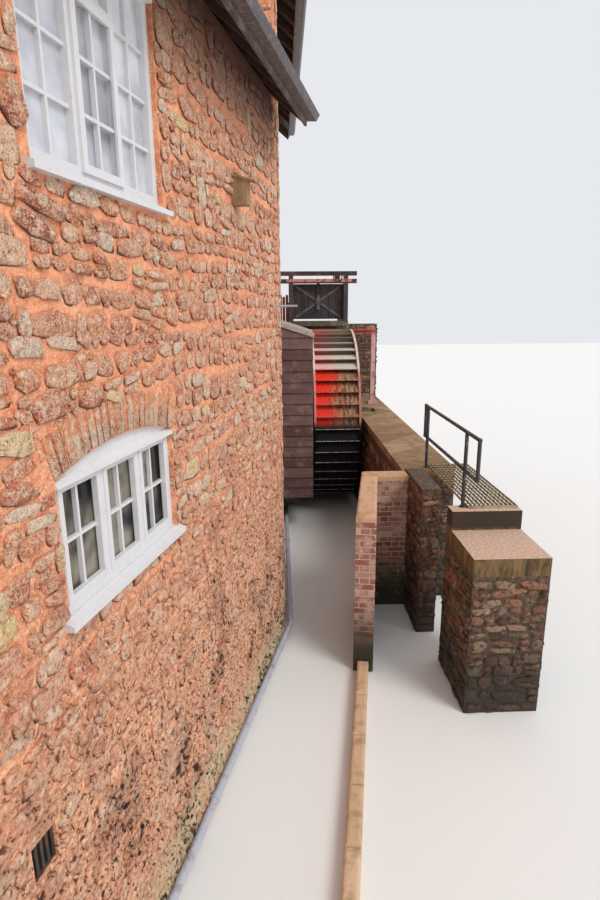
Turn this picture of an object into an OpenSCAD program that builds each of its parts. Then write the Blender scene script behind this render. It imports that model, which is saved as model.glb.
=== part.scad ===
// Stone watermill with a pitch-back bucket wheel, its pit, trough and sluice gate.
// X points out from the mill's front wall, Y runs along it towards the sluice, Z is up.
// The drawing frame starts at the foot of the walls, where the two front walls meet.

/* [Walls] */
// Thickness of the rubble walls
wall_t = 550; // [450:10:650]
// Angle between the two front walls, in degrees
cant = 14.1; // [8:0.1:18]
// Height of the wing's walls, from foot to eaves
wing_wall_h = 6230; // [6150:10:6400]
// Length of the wing's front wall
wing_len = 7000; // [6400:100:8000]
// Depth of the wing, from its front wall to its land wall
wing_depth = 5000; // [4400:100:5600]
// Height of the mill block's walls, from foot to eaves
mill_wall_h = 8340; // [8250:10:8600]
// Length of the mill block's front wall
mill_len = 8300; // [8250:50:9000]
// Depth of the mill block, from its front wall to its land wall
mill_depth = 6000; // [5800:100:6800]

/* [Floors] */
// Height of the ground floor's top above the foot of the walls
ground_floor_z = 1950; // [1800:10:2100]
// Height from one floor to the next
storey_h = 2030; // [2000:10:2060]
// Thickness of each floor
floor_t = 150; // [100:10:200]

/* [Roofs] */
// Pitch of both roofs, in degrees
roof_pitch = 40; // [36:0.5:43]
// Depth of a rafter, square to its slope
rafter_d = 110; // [90:5:140]
// Width of a rafter
rafter_w = 60; // [45:5:80]
// Distance from one pair of rafters to the next
rafter_pitch = 450; // [400:10:600]
// Thickness of boards, battens and slates, square to the slope
roof_t = 70; // [50:5:90]
// How far the rafters' feet reach past the wall
rafter_over = 285; // [260:5:310]
// How far the roof's edge reaches past the fascia board
eaves_over = 80; // [50:5:90]
// Thickness of the roof's edge, where only slates are left
edge_t = 22; // [16:1:30]
// How far the roof reaches past a gable
verge_over = 100; // [60:10:150]
// Thickness of the fascia and verge boards
fascia_t = 26; // [20:1:32]
// Height of the fascia board
fascia_h = 120; // [110:5:130]
// Depth of the verge boards under the roof
verge_h = 150; // [120:5:180]
// Width of the gutter's flat bottom
gutter_w = 96; // [85:1:105]
// Height of the gutter
gutter_h = 60; // [50:1:64]
// How far the gutter's front leans out
gutter_lean = 35; // [25:1:40]
// Thickness of the gutter's iron
gutter_t = 5; // [3:1:6]
// Height of the gutter above the fascia's lower edge
gutter_up = 44; // [36:1:48]
// Width of a ridge tile's wing
ridge_w = 130; // [110:5:150]
// Thickness of the ridge tiles
ridge_t = 22; // [16:1:28]
// Radius of the roll on the ridge tiles
ridge_roll = 34; // [26:1:40]

/* [Windows] */
// Width of every window opening
win_w = 1230; // [1160:10:1320]
// Distance from the corner to the middle of the low front window
low_from_corner = 3570; // [3500:10:3600]
// Distance from the corner to the middle of the tall front window
tall_from_corner = 3490; // [3400:10:3520]
// Height of the low window's frame
low_win_h = 680; // [640:10:700]
// Height of the low window's sill above its floor
low_sill_z = 770; // [740:10:800]
// Rise of the brick arch over a low window
arch_rise = 90; // [70:5:110]
// Height of the arch bricks
arch_h = 215; // [200:5:230]
// Depth of the arch bricks into the wall
arch_d = 225; // [200:5:240]
// Number of bricks in an arch
arch_n = 20; // [16:1:24]
// Mortar joint between the arch bricks
arch_joint = 8; // [5:1:12]
// Height of the tall windows' frames
tall_win_h = 1110; // [1050:10:1150]
// Height of a tall window's sill above its floor
tall_sill_z = 780; // [720:10:800]
// Depth of the window frames
frame_d = 90; // [70:5:110]
// Width of the frame members on the face
frame_w = 50; // [40:2:60]
// How far the frames stand back from the wall's face
recess = 30; // [15:5:50]
// Thickness of the glass
glass_t = 6; // [4:1:8]
// Height of a timber sill
sill_h = 52; // [45:1:70]
// Height of a sill's front edge
sill_edge = 30; // [24:1:34]
// How far a sill stands out of the wall
sill_out = 50; // [40:5:70]
// Length of the horns at each end of a sill
sill_horn = 45; // [30:5:70]
// Depth of the weather drip over a frame
drip_d = 42; // [36:2:50]
// Height of the weather drip over a frame
drip_h = 38; // [30:2:44]
// Width of the opening sash's own frame
sash_w = 42; // [34:2:48]
// Height of the opening sash
casement_h = 780; // [740:10:800]
// Width of the door opening
door_w = 950; // [850:10:1050]
// Height of the door opening
door_h = 2000; // [1900:10:2020]
// Thickness of the door's boards
door_t = 32; // [26:2:38]
// Thickness of the door's ledges
ledge_t = 25; // [20:1:30]
// Height of the door's ledges
ledge_z = 150; // [120:10:170]

/* [Wheel] */
// Outer radius of the mill wheel
wheel_r = 1805; // [1780:5:1830]
// Width of the wheel over its shrouds
wheel_w = 900; // [820:10:920]
// Distance from the wall's face to the wheel
wheel_x = 640; // [630:5:660]
// Distance of the axle from the corner, along Y
wheel_y = 5850; // [5820:5:5870]
// Height of the axle above the foot of the walls
wheel_z = 1915; // [1900:5:1930]
// Number of buckets
bucket_n = 48; // [40:1:48]
// Depth of the buckets, from the rim to the sole
bucket_d = 300; // [270:5:320]
// Share of that depth at which a bucket bends
elbow_share = 0.6; // [0.55:0.01:0.65]
// Length of a bucket's raking plate round the rim, in buckets
tip_share = 1.05; // [1:0.01:1.1]
// Thickness of the bucket plates
bucket_t = 6; // [4:1:8]
// Thickness of the shroud plates
shroud_t = 14; // [10:1:20]
// Depth of the shroud plates inside the sole
shroud_in = 120; // [100:5:150]
// Number of arms on each side
arm_n = 8; // [6:2:10]
// Width of an arm at the hub
arm_w = 118; // [100:2:122]
// Width of an arm at the rim
arm_tip_w = 80; // [70:2:90]
// Height of the rib along an arm
arm_rib = 40; // [30:2:50]
// Thickness of an arm
arm_t = 38; // [30:2:46]
// Outer radius of a hub's disc
hub_r = 260; // [220:10:300]
// Thickness of a hub's disc
hub_t = 63; // [56:1:68]
// Length of a hub's boss
boss_l = 128; // [110:2:150]
// Thickness of a hub's boss round the axle
boss_t = 60; // [50:2:75]
// Length of each bearing
bearing_l = 170; // [140:5:190]
// Distance from the wall's inner face to its bearing
bearing_in = 150; // [130:5:170]
// Radius of the axle
axle_r = 100; // [85:5:115]
// Radius of the axle's journals
journal_r = 60; // [45:5:70]
// Running clearance round a journal
journal_gap = 0.3; // [0.2:0.1:0.5]

/* [Splash housing] */
// How far the boarded housing reaches out from the wall
housing_w = 585; // [560:5:595]
// Distance from the corner to the housing's front
housing_y = 3740; // [3700:5:3780]
// Height of the housing's lower edge above the foot of the walls
housing_z = 670; // [600:10:720]
// Height of the housing's front at the wall
housing_top_z = 3850; // [3830:5:3900]
// Fall of the housing's roof across its width
housing_fall = 190; // [160:5:220]
// Thickness of the boards
board_t = 30; // [24:1:36]
// Thickness of the housing's posts and rails
batten = 60; // [50:2:75]
// Thickness of the housing's lean-to roof
lean_t = 80; // [60:5:100]
// Distance from the corner to the far end of the lean-to roof
lean_end_y = 6300; // [6200:10:6350]

/* [Pit] */
// Distance from the mill's wall to the face of the pit wall
pit_x = 1680; // [1660:5:1720]
// Thickness of the pit wall, which the walkway lies on
pit_wall_t = 760; // [700:10:800]
// Distance from the corner to the near end of the pit wall
pit_near_y = 1060; // [1020:10:1120]
// Length of the narrow head that runs on from the pit wall
head_len = 960; // [880:10:1000]
// Width of this head
head_w = 240; // [200:10:280]
// Height of the walkway above the foot of the walls
walk_z = 1970; // [1950:5:2000]
// Thickness of the walkway's slabs
slab_t = 110; // [90:5:130]
// Number of walkway slabs in a row
slab_n = 9; // [6:1:12]
// Joint between the slabs
slab_joint = 12; // [8:1:16]
// Clearance between the wheel and the pit's back wall
back_gap = 245; // [200:5:260]
// Thickness of the pit's back wall
back_t = 400; // [350:10:450]
// Width of the notch that holds each bearing
notch_w = 460; // [420:10:500]
// Length of the notch in the pit wall
notch_l = 400; // [380:10:450]
// Height of the axle above the floor of the bearing notch
notch_drop = 190; // [170:5:210]

/* [Tailrace walls] */
// Thickness of the brick wall
brick_t = 225; // [215:5:240]
// Height of the brick wall under its coping
brick_h = 1870; // [1840:5:1900]
// Height of the brick wall's coping
coping_h = 75; // [60:5:90]
// Angle of the brick wall to the mill's wall, in degrees
brick_angle = 10; // [8:0.1:11]
// Length of the brick wall up to the corner of its cross arm
brick_len = 1740; // [1650:10:1850]
// Length of the cross arm, from the corner to the pit wall
arm_len = 560; // [500:10:620]
// How far the cross arm laps over the end of the pit wall
arm_lap = 60; // [40:5:80]
// Width of the chamfers on the coping and the kerb
coping_edge = 28; // [20:1:36]
// Width of the low kerb wall
kerb_t = 130; // [110:5:160]
// Height of the kerb wall above the foot of the walls
kerb_h = 150; // [120:5:180]
// Length of the kerb wall
kerb_len = 4800; // [4200:100:5400]

/* [Trough and sluice] */
// Height of the trough's floor above the foot of the walls
trough_z = 3830; // [3800:5:3850]
// Thickness of the trough's planks
plank_t = 60; // [50:5:70]
// Height of the trough's sides
trough_h = 460; // [400:10:500]
// Distance from the corner to the lip of the trough
lip_y = 6430; // [6400:5:6480]
// Distance from the wall's face to the trough's left side
trough_x = 225; // [200:5:240]
// Distance from the corner to the front of the sluice
gate_y = 6490; // [6480:5:6500]
// Height of the sluice gate
gate_h = 760; // [700:10:765]
// How far the gate is lifted off the trough's floor
gate_lift = 90; // [60:5:110]
// Thickness of the gate's boards
gate_t = 36; // [30:2:44]
// Thickness of the gate's braces
brace_t = 22; // [16:2:26]
// Width of the gate's braces
brace_w = 60; // [50:2:70]
// Side of the gate's square stem
stem_w = 58; // [50:2:60]
// Length of the stem down the gate's face
stem_h = 540; // [480:10:600]
// Height of the stem above the gate's boards
stem_up = 110; // [80:5:140]
// Depth of the stem
stem_d = 50; // [40:2:54]
// Clearance of the gate in its frame
gate_gap = 5; // [5:1:8]
// Width of the sluice's side posts
stile_w = 100; // [90:5:115]
// Depth of the sluice's side posts
stile_d = 230; // [220:5:250]
// Height of the sluice's side posts above the trough's floor
stile_h = 860; // [855:5:880]
// Depth of the groove in a side post
groove_d = 30; // [25:1:35]
// Distance from the front of a side post to the gate's boards
groove_y = 152; // [150:1:160]
// Depth of each rail over the gate
rail_d = 90; // [80:5:90]
// Height of each rail over the gate
rail_h = 92; // [80:2:100]
// Distance between the two rails
rail_gap = 70; // [60:2:80]
// How far the rails reach past the right side post
rail_over = 190; // [150:10:220]
// Distance from the mill's wall to the hand wheel's shaft
winch_x = 1300; // [1260:10:1320]
// Radius of the hand wheel on the winch
hand_r = 105; // [90:5:115]
// Radius of the hand wheel's shaft
shaft_r = 14; // [11:1:18]
// Depth of the winch's box behind the rails
box_d = 30; // [24:1:32]
// Height of the plank on edge at the lip
lip_h = 55; // [45:5:65]
// Thickness of this plank
lip_d = 40; // [30:2:46]
// Number of old boards beside the sluice
cheek_n = 3; // [2:1:4]
// Thickness of these boards
cheek_t = 32; // [25:1:40]
// Height of these boards
cheek_h = 770; // [700:10:820]

/* [Post and beam] */
// Distance from the corner to the beam under the trough
beam_y = 6720; // [6705:5:6750]
// Distance from the mill's wall to the post
post_x = 2160; // [2100:10:2250]
// Side of the slim post
post_w = 95; // [80:5:110]
// Side of the block under the post
block_w = 210; // [180:10:240]
// Height of the block under the post
block_h = 70; // [60:5:100]
// Height of the beam
beam_h = 90; // [80:5:110]
// Width of the beam's flanges
beam_w = 110; // [90:5:120]
// Thickness of the beam's flanges
flange_t = 14; // [10:1:18]
// Height of the timber bearer between the beam and the trough
bearer_h = 90; // [80:5:100]

/* [Fittings] */
// Distance from the corner to the wooden box
box_y = 1500; // [1450:10:1550]
// Height of the wooden box above the foot of the walls
box_z = 4980; // [4900:10:5050]
// Width of the wooden box
box_w = 100; // [80:5:140]
// How far the box stands out of the wall
box_out = 136; // [120:2:160]
// Height of the box at the wall
box_h = 228; // [200:2:250]
// Fall of the box's lid over its depth
box_fall = 38; // [30:2:50]
// How much higher the front of the box's bottom is than its back
box_rise = 4; // [2:1:10]
// Distance from the corner to the vent
vent_y = 4550; // [4500:10:4600]
// Height of the vent above the foot of the walls
vent_z = 1620; // [1580:10:1660]
// Width of the vent
vent_w = 170; // [140:5:200]
// Height of the vent
vent_h = 215; // [190:5:240]
// Radius of the pipe along the foot of the walls
pipe_r = 34; // [30:1:40]
// Height of this pipe above the foot of the walls
pipe_z = 170; // [140:5:200]
// Distance from the wing's wall to the middle of the pipe
pipe_wing_x = 62; // [55:1:75]
// Distance from the mill's wall to the middle of the pipe
pipe_mill_x = 92; // [85:1:105]
// Distance from the corner to the pipe's far end, under the housing
pipe_end_y = 4700; // [4500:50:4900]
// Distance from one collar of the pipe to the next
pipe_pitch = 1100; // [1000:20:1200]
// Height of the overflow pipe above the foot of the walls
overflow_z = 4180; // [4150:5:4250]
// Length of the overflow pipe outside the wall
overflow_l = 250; // [200:10:280]
// Radius of the overflow pipe
overflow_r = 11; // [9:1:14]
// Distance from the corner to the overflow pipe
overflow_y = 180; // [150:5:250]

/* [Footbridge] */
// Distance from the mill's wall to the footbridge
bridge_x = 2080; // [2050:5:2100]
// Width of the footbridge
bridge_w = 560; // [500:10:600]
// Length of the footbridge's clear span
bridge_span = 1560; // [1500:10:1620]
// How far the footbridge rests on the stone at each end
bridge_rest = 110; // [90:5:140]
// Depth of the footbridge's bars
grate_h = 30; // [25:1:40]
// Thickness of the footbridge's bars
grate_t = 6; // [5:1:8]
// Distance from one long bar to the next, at most
grate_pitch = 55; // [50:1:70]
// Number of cross bars
grate_n = 15; // [12:1:18]
// Height of the handrail above the footbridge
rail_top = 860; // [820:10:900]
// Distance between the handrail and the rail under it
rail_drop = 430; // [400:10:460]
// Radius of the handrail's tube
rail_r = 21; // [17:1:24]
// How far the rails run past their far post
rail_past = 180; // [150:10:200]
// How far the rails run past their near post
rail_near = 450; // [380:10:500]
// Length of the pier at the near end of the footbridge
pier_l = 960; // [850:10:1050]
// How far the pier reaches past the footbridge's side
pier_side = 200; // [150:5:220]
// Width of this pier
pier_w = 780; // [760:10:850]
// Height of this pier under its landing
pier_h = 1560; // [1520:10:1600]
// Thickness of the landing
landing_t = 190; // [150:10:210]
// Length of the block that the footbridge rests on
rest_l = 200; // [180:10:260]

/* [Hidden] */
$fn = 48;

// Clearance at which a loose piece is seated on what carries it
seat = 0.3;
// A cut runs this far past the face it opens
past = 20;
// Larger than the whole mill, for cutting planes
far = 30000;

pitch_tan = tan(roof_pitch);
rafter_rise = rafter_d / cos(roof_pitch);
roof_rise = roof_t / cos(roof_pitch);
fascia_x = rafter_over + fascia_t;
wing_back = wing_depth * tan(cant);

sill_top_low = ground_floor_z + low_sill_z;
first_floor_z = ground_floor_z + storey_h;
second_floor_z = first_floor_z + storey_h;
arch_r = (pow(win_w / 2, 2) + pow(arch_rise, 2)) / (2 * arch_rise);
arch_half = asin(win_w / 2 / arch_r);
arch_centre = low_win_h + arch_rise - arch_r;
light_w = (win_w - 4 * frame_w) / 3;
transom_z = frame_w + casement_h - sash_w;
sill_fall = 6;

back_y = wheel_y + wheel_r + back_gap;
wheel_end_x = wheel_x + wheel_w;
sole_r = wheel_r - bucket_d;
trough_end_x = wheel_end_x;
arm_end_x = pit_x + arm_lap;
head_x = arm_end_x + seat;
winch_z = trough_z + stile_h + rail_h + rail_gap / 2;
beam_top = trough_z - plank_t - bearer_h;
notch_z = wheel_z - notch_drop;
// The arms start this far from the axle's middle, inside the boss, and end this far inside the sole
hub_in = axle_r + boss_t / 2;
arm_gap = 2;
// The journals and the barrel run this far past what carries them
axle_past = 60;
bearing_xs = [-wall_t + bearing_in, pit_x + bearing_in / 2];
brick_x = pit_x - arm_len;
leg_len = brick_len / cos(brick_angle);
brick_near_y = pit_near_y - brick_t;
bridge_far_y = pit_near_y;
bridge_near_y = pit_near_y - bridge_span;
rail_far_y = bridge_far_y + rail_past;
rail_near_y = bridge_near_y - rail_near;
pier_x = bridge_x - pier_side;
// The lean-to roof laps the housing's front and side
lean_over = 45;
lean_side = 35;
// Gap left over the housing's boards, and the way round the journal through them
clear = 10;
journal_way = 30;
lean_y = housing_y - lean_over;

// Collars, clips and wall of the plastic pipes
collar_t = 6;
collar_l = 70;
clip_t = 14;
pipe_t = 3;

// Foot of the corner pier, where the two walls' middle lines meet
origin = [-wall_t / 2, wall_t / 2, 0];

// Where each window of a wall sits: distance along the wall and height of its sill
wing_low = [low_from_corner, sill_top_low];
wing_tall = [tall_from_corner, first_floor_z + tall_sill_z];
wing_land_y = low_from_corner + wing_back / 2;
// The door stands this far along the land wall from its windows
door_apart = 1700;
door_y = wing_land_y - door_apart;
mill_rows = [first_floor_z + tall_sill_z, second_floor_z + tall_sill_z];
// Two columns of windows share the mill's long wall about evenly
column_share = 0.28;
mill_columns = [column_share * mill_len, (1 - column_share) * mill_len];

module part_place() { translate(-origin) children(); }

// The wing turns about the corner and ends at the mill block's near gable
module wing_place() {
    part_place() rotate([0, 0, -cant]) children();
}

module trim_at_gable() {
    intersection() {
        wing_place() children();
        part_place() translate([-far / 2, -far, -past]) cube([far, far, far]);
    }
}

// Four walls' own frames: X points out of the wall, Y runs along it
module on_wing_river(y) { rotate([0, 0, -cant]) translate([0, -y, 0]) children(); }
module on_wing_land(y) {
    rotate([0, 0, -cant]) translate([-wing_depth, -y, 0]) rotate([0, 0, 180]) children();
}
module on_wing_end() {
    rotate([0, 0, -cant]) translate([-wing_depth / 2, -wing_len, 0]) rotate([0, 0, -90]) children();
}
module on_mill_land(y) { translate([-mill_depth, y, 0]) rotate([0, 0, 180]) children(); }
module on_mill_far() { translate([-mill_depth / 2, mill_len, 0]) rotate([0, 0, 90]) children(); }

// Opening for a tall window, measured from its sill's top
module tall_hole() {
    translate([-wall_t - past, -win_w / 2, -sill_h])
        cube([wall_t + 2 * past, win_w, tall_win_h + sill_h]);
}

// Side view of an arch: part of a ring between two radii
module arch_wedge(r, half) {
    intersection() {
        circle(r, $fn = 180);
        polygon([[0, 0], [-2 * r * sin(half), 2 * r * cos(half)], [2 * r * sin(half), 2 * r * cos(half)]]);
    }
}

// Opening for a low window, with the seat for its brick arch
module low_hole() {
    translate([-wall_t - past, -win_w / 2, -sill_h])
        cube([wall_t + 2 * past, win_w, low_win_h + sill_h]);
    difference() {
        translate([-wall_t - past, 0, arch_centre]) rotate([90, 0, 90])
            linear_extrude(wall_t + 2 * past) arch_wedge(arch_r, arch_half);
        translate([-wall_t - 2 * past, -win_w, arch_centre - past])
            cube([wall_t + 4 * past, 2 * win_w, low_win_h - arch_centre + past]);
    }
    translate([-arch_d, 0, arch_centre]) rotate([90, 0, 90])
        linear_extrude(arch_d + past) difference() {
            arch_wedge(arch_r + arch_h, arch_half);
            circle(arch_r, $fn = 180);
        }
}

// The bricks of one arch, standing on edge round its curve
module arch_bricks() {
    step = 2 * arch_half / arch_n;
    joint_half = arch_joint / 2 / arch_r * 180 / PI;
    translate([-arch_d, 0, arch_centre]) rotate([90, 0, 90])
        for (i = [0 : arch_n - 1]) {
            rotate(arch_half - (i + 0.5) * step) linear_extrude(arch_d)
                difference() {
                    arch_wedge(arch_r + arch_h, step / 2 - joint_half);
                    circle(arch_r, $fn = 180);
                }
        }
}

module door_hole() {
    translate([-wall_t - past, -door_w / 2, ground_floor_z])
        cube([wall_t + 2 * past, door_w, door_h]);
}

// Frame of one window with two mullions; its lower left corner is on the sill
module window_frame(h) {
    translate([-recess - frame_d, -win_w / 2, 0]) difference() {
        cube([frame_d, win_w, h]);
        for (i = [0 : 2])
            translate([-past, frame_w + i * (light_w + frame_w), frame_w])
                cube([frame_d + 2 * past, light_w, h - 2 * frame_w]);
    }
    head_drip(h);
}

// White panel that fills the arch over a low frame
module arch_panel() {
    difference() {
        translate([-recess - frame_d, 0, arch_centre]) rotate([90, 0, 90])
            linear_extrude(frame_d) arch_wedge(arch_r, arch_half);
        translate([-recess - frame_d - past, -win_w, arch_centre - past])
            cube([frame_d + 2 * past, 2 * win_w, low_win_h - arch_centre + past]);
    }
}

// Weather drip across a frame's head, its top sloping outwards
module head_drip(h) {
    translate([-recess, win_w / 2, h - drip_h]) rotate([90, 0, 0]) linear_extrude(win_w)
        polygon([[0, 0], [drip_d, 0], [drip_d, drip_h / 3], [0, drip_h]]);
}

module low_frame() {
    window_frame(low_win_h);
    arch_panel();
}

// The middle light has a transom over its opening sash
module tall_frame() {
    window_frame(tall_win_h);
    translate([-recess - frame_d, -light_w / 2, transom_z]) cube([frame_d, light_w, frame_w]);
}

// Sill with a weathered top, a throat under its front and horns past the opening at each end
module sill() {
    throat_w = 10;
    throat_x = sill_out - 2 * throat_w;
    throat_z = -sill_h + throat_w / 2;
    translate([-recess - frame_d, -win_w / 2, -sill_h])
        cube([recess + frame_d, win_w, sill_h]);
    translate([0, win_w / 2 + sill_horn, 0]) rotate([90, 0, 0])
        linear_extrude(win_w + 2 * sill_horn)
            polygon([
                [0, -sill_h], [throat_x, -sill_h], [throat_x, throat_z], [throat_x + throat_w, throat_z],
                [throat_x + throat_w, -sill_h], [sill_out, -sill_h], [sill_out, sill_edge - sill_h],
                [0, -sill_fall]
            ]);
}

// One sheet of glass in light i of a frame, between two heights
module pane(i, low, high) {
    translate([-recess - (frame_d + glass_t) / 2, -win_w / 2 + frame_w + i * (light_w + frame_w) + seat,
               low + seat])
        cube([glass_t, light_w - 2 * seat, high - low - 2 * seat]);
}

module low_panes() {
    for (i = [0 : 2])
        pane(i, frame_w, low_win_h - frame_w);
}

module tall_panes() {
    for (i = [0, 2])
        pane(i, frame_w, tall_win_h - frame_w);
    pane(1, frame_w, transom_z);
    pane(1, transom_z + frame_w, tall_win_h - frame_w);
}

// Cross-section of a wall under the eaves, its top cut along the rafters
module eaves_wall(h, len) {
    rotate([90, 0, 180]) linear_extrude(len)
        polygon([[0, 0], [wall_t, 0], [wall_t, h + wall_t * pitch_tan], [0, h]]);
}

// End view of a gable, up to the underside of the roof
module gable_outline(depth, h) {
    edge = h + rafter_rise;
    polygon([[0, 0], [-depth, 0], [-depth, edge], [-depth / 2, edge + depth / 2 * pitch_tan], [0, edge]]);
}

module gable(depth, h) {
    rotate([90, 0, 0]) linear_extrude(wall_t) gable_outline(depth, h);
}

// One pair of rafters that meet at the ridge
module rafter_pair(depth, h) {
    half = depth / 2;
    rise = half * pitch_tan;
    rotate([90, 0, 0]) linear_extrude(rafter_w)
        polygon([
            [rafter_over, h - rafter_over * pitch_tan],
            [rafter_over, h + rafter_rise - rafter_over * pitch_tan],
            [-half, h + rafter_rise + rise],
            [-depth - rafter_over, h + rafter_rise - rafter_over * pitch_tan],
            [-depth - rafter_over, h - rafter_over * pitch_tan],
            [-half, h + rise]
        ]);
}

// One slope of a roof, seen from the gable; it is seated on the rafters
module slope_outline(depth, h) {
    inner = depth / 2 - seat;
    edge_x = fascia_x + eaves_over;
    base = h + rafter_rise + seat;
    top = base + roof_rise;
    polygon([
        [fascia_x, base - fascia_x * pitch_tan],
        [edge_x, top - edge_x * pitch_tan - edge_t],
        [edge_x, top - edge_x * pitch_tan],
        [-inner, top + inner * pitch_tan],
        [-inner, base + inner * pitch_tan]
    ]);
}

module roof_slopes(depth, h, len) {
    rotate([90, 0, 0]) linear_extrude(len) slope_outline(depth, h);
    translate([-depth, 0, 0]) mirror([1, 0, 0])
        rotate([90, 0, 0]) linear_extrude(len) slope_outline(depth, h);
}

// Angle ridge tiles with a roll along the top
module ridge(depth, h, len) {
    wing_z = -ridge_w * pitch_tan;
    rise = ridge_t / cos(roof_pitch);
    z = h + rafter_rise + roof_rise + depth / 2 * pitch_tan + 2 * seat;
    translate([-depth / 2, 0, z]) rotate([90, 0, 0]) linear_extrude(len) {
        polygon([
            [0, 0], [ridge_w, wing_z], [ridge_w, wing_z + rise],
            [0, rise], [-ridge_w, wing_z + rise], [-ridge_w, wing_z]
        ]);
        translate([0, ridge_roll]) circle(ridge_roll);
    }
}

// Height of the fascia's lower edge on a wall of height h
function fascia_z(h) = h + rafter_rise - fascia_x * pitch_tan - fascia_h;

// Fascia on the rafters' feet
module fascia(h, len) {
    translate([rafter_over, -len, fascia_z(h)]) cube([fascia_t, len, fascia_h]);
}

// One of the two boards under a verge, from the fascia to the ridge
module verge_board(depth, h) {
    inner = depth / 2 - seat;
    outer = rafter_over - seat;
    base = h + rafter_rise - seat;
    drop = verge_h / cos(roof_pitch);
    rotate([90, 0, 0]) linear_extrude(fascia_t)
        polygon([
            [outer, base - outer * pitch_tan], [-inner, base + inner * pitch_tan],
            [-inner, base + inner * pitch_tan - drop], [outer, base - outer * pitch_tan - drop]
        ]);
}

// Box gutter with a flat bottom and a leaning front, fixed to the fascia
module gutter(h, len) {
    front = gutter_w + gutter_lean;
    translate([fascia_x + seat, 0, fascia_z(h) + gutter_up]) rotate([90, 0, 0])
        linear_extrude(len) polygon([
            [0, 0], [gutter_w, 0], [front, gutter_h], [front - gutter_t, gutter_h],
            [gutter_w - gutter_t, gutter_t], [gutter_t, gutter_t], [gutter_t, gutter_h], [0, gutter_h]
        ]);
}

module wing_river_wall() {
    color("#b5694c") difference() {
        trim_at_gable() translate([0, -wing_len + wall_t, 0])
            eaves_wall(wing_wall_h, wing_len);
        part_place() {
            on_wing_river(wing_low[0]) translate([0, 0, wing_low[1]]) low_hole();
            on_wing_river(wing_tall[0]) translate([0, 0, wing_tall[1]]) tall_hole();
            on_wing_river(vent_y) translate([-wall_t - past, -vent_w / 2, vent_z])
                cube([wall_t + 2 * past, vent_w, vent_h]);
        }
    }
}

module wing_land_wall() {
    color("#b5694c") difference() {
        trim_at_gable() translate([-wing_depth, -wing_len + wall_t, 0]) mirror([1, 0, 0])
            eaves_wall(wing_wall_h, wing_len);
        part_place() {
            on_wing_land(wing_land_y) translate([0, 0, wing_low[1]]) low_hole();
            on_wing_land(wing_land_y) translate([0, 0, wing_tall[1]]) tall_hole();
            on_wing_land(door_y) door_hole();
        }
    }
}

module wing_end_wall() {
    color("#b5694c") difference() {
        wing_place() translate([0, -wing_len + wall_t, 0]) gable(wing_depth, wing_wall_h);
        part_place() {
            on_wing_end() translate([0, 0, wing_low[1]]) low_hole();
            on_wing_end() translate([0, 0, wing_tall[1]]) tall_hole();
        }
    }
}

module wing_floor(top) {
    trim_at_gable() translate([-wing_depth + wall_t, -wing_len + wall_t, top - floor_t])
        cube([wing_depth - 2 * wall_t, wing_len, floor_t]);
}

module wing_floors() {
    color("#8a7458") {
        wing_floor(ground_floor_z);
        wing_floor(first_floor_z);
    }
}

module wing_roof() {
    color("#7d7a73") trim_at_gable() translate([0, wing_back, 0])
        roof_slopes(wing_depth, wing_wall_h, wing_len + wing_back + verge_over);
}

module mill_river_wall() {
    color("#b5694c") part_place() difference() {
        translate([0, wall_t, 0]) eaves_wall(mill_wall_h, mill_len - 2 * wall_t);
        translate([-wall_t - past, wheel_y - notch_w / 2, notch_z])
            cube([wall_t + 2 * past, notch_w, 2 * notch_drop]);
    }
}

module mill_land_wall() {
    color("#b5694c") part_place() difference() {
        translate([-mill_depth, wall_t, 0]) mirror([1, 0, 0])
            eaves_wall(mill_wall_h, mill_len - 2 * wall_t);
        for (y = mill_columns) {
            on_mill_land(y) translate([0, 0, sill_top_low]) low_hole();
            for (z = mill_rows)
                on_mill_land(y) translate([0, 0, z]) tall_hole();
        }
    }
}

module mill_near_gable() {
    color("#c07350") part_place() translate([0, wall_t, 0]) gable(mill_depth, mill_wall_h);
}

module mill_far_gable() {
    color("#b5694c") part_place() difference() {
        translate([0, mill_len, 0]) gable(mill_depth, mill_wall_h);
        on_mill_far() translate([0, 0, sill_top_low]) low_hole();
        for (z = mill_rows)
            on_mill_far() translate([0, 0, z]) tall_hole();
    }
}

module mill_floors() {
    color("#8a7458") part_place()
        for (top = [ground_floor_z, first_floor_z, second_floor_z])
            translate([-mill_depth + wall_t, wall_t, top - floor_t])
                cube([mill_depth - 2 * wall_t, mill_len - 2 * wall_t, floor_t]);
}

module mill_roof() {
    color("#7d7a73") part_place() translate([0, mill_len + verge_over, 0])
        roof_slopes(mill_depth, mill_wall_h, mill_len + 2 * verge_over);
}

module rafters() {
    wing_n = floor((wing_len - wall_t - rafter_w) / rafter_pitch);
    mill_n = floor((mill_len - 2 * wall_t - rafter_w) / rafter_pitch);
    color("#4a3a30") {
        trim_at_gable() for (i = [0 : wing_n])
            translate([0, -wing_len + wall_t + rafter_w + i * rafter_pitch, 0])
                rafter_pair(wing_depth, wing_wall_h);
        part_place() for (i = [0 : mill_n])
            translate([0, wall_t + rafter_w + i * rafter_pitch, 0])
                rafter_pair(mill_depth, mill_wall_h);
    }
}

module ridge_tiles() {
    color("#6f6a64") {
        trim_at_gable() translate([0, wing_back, 0])
            ridge(wing_depth, wing_wall_h, wing_len + wing_back + verge_over);
        part_place() translate([0, mill_len + verge_over, 0])
            ridge(mill_depth, mill_wall_h, mill_len + 2 * verge_over);
    }
}

// A shape on one side of a roof and its mirror image on the other
module both_sides(depth) {
    children();
    translate([-depth, 0, 0]) mirror([1, 0, 0]) children();
}

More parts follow.
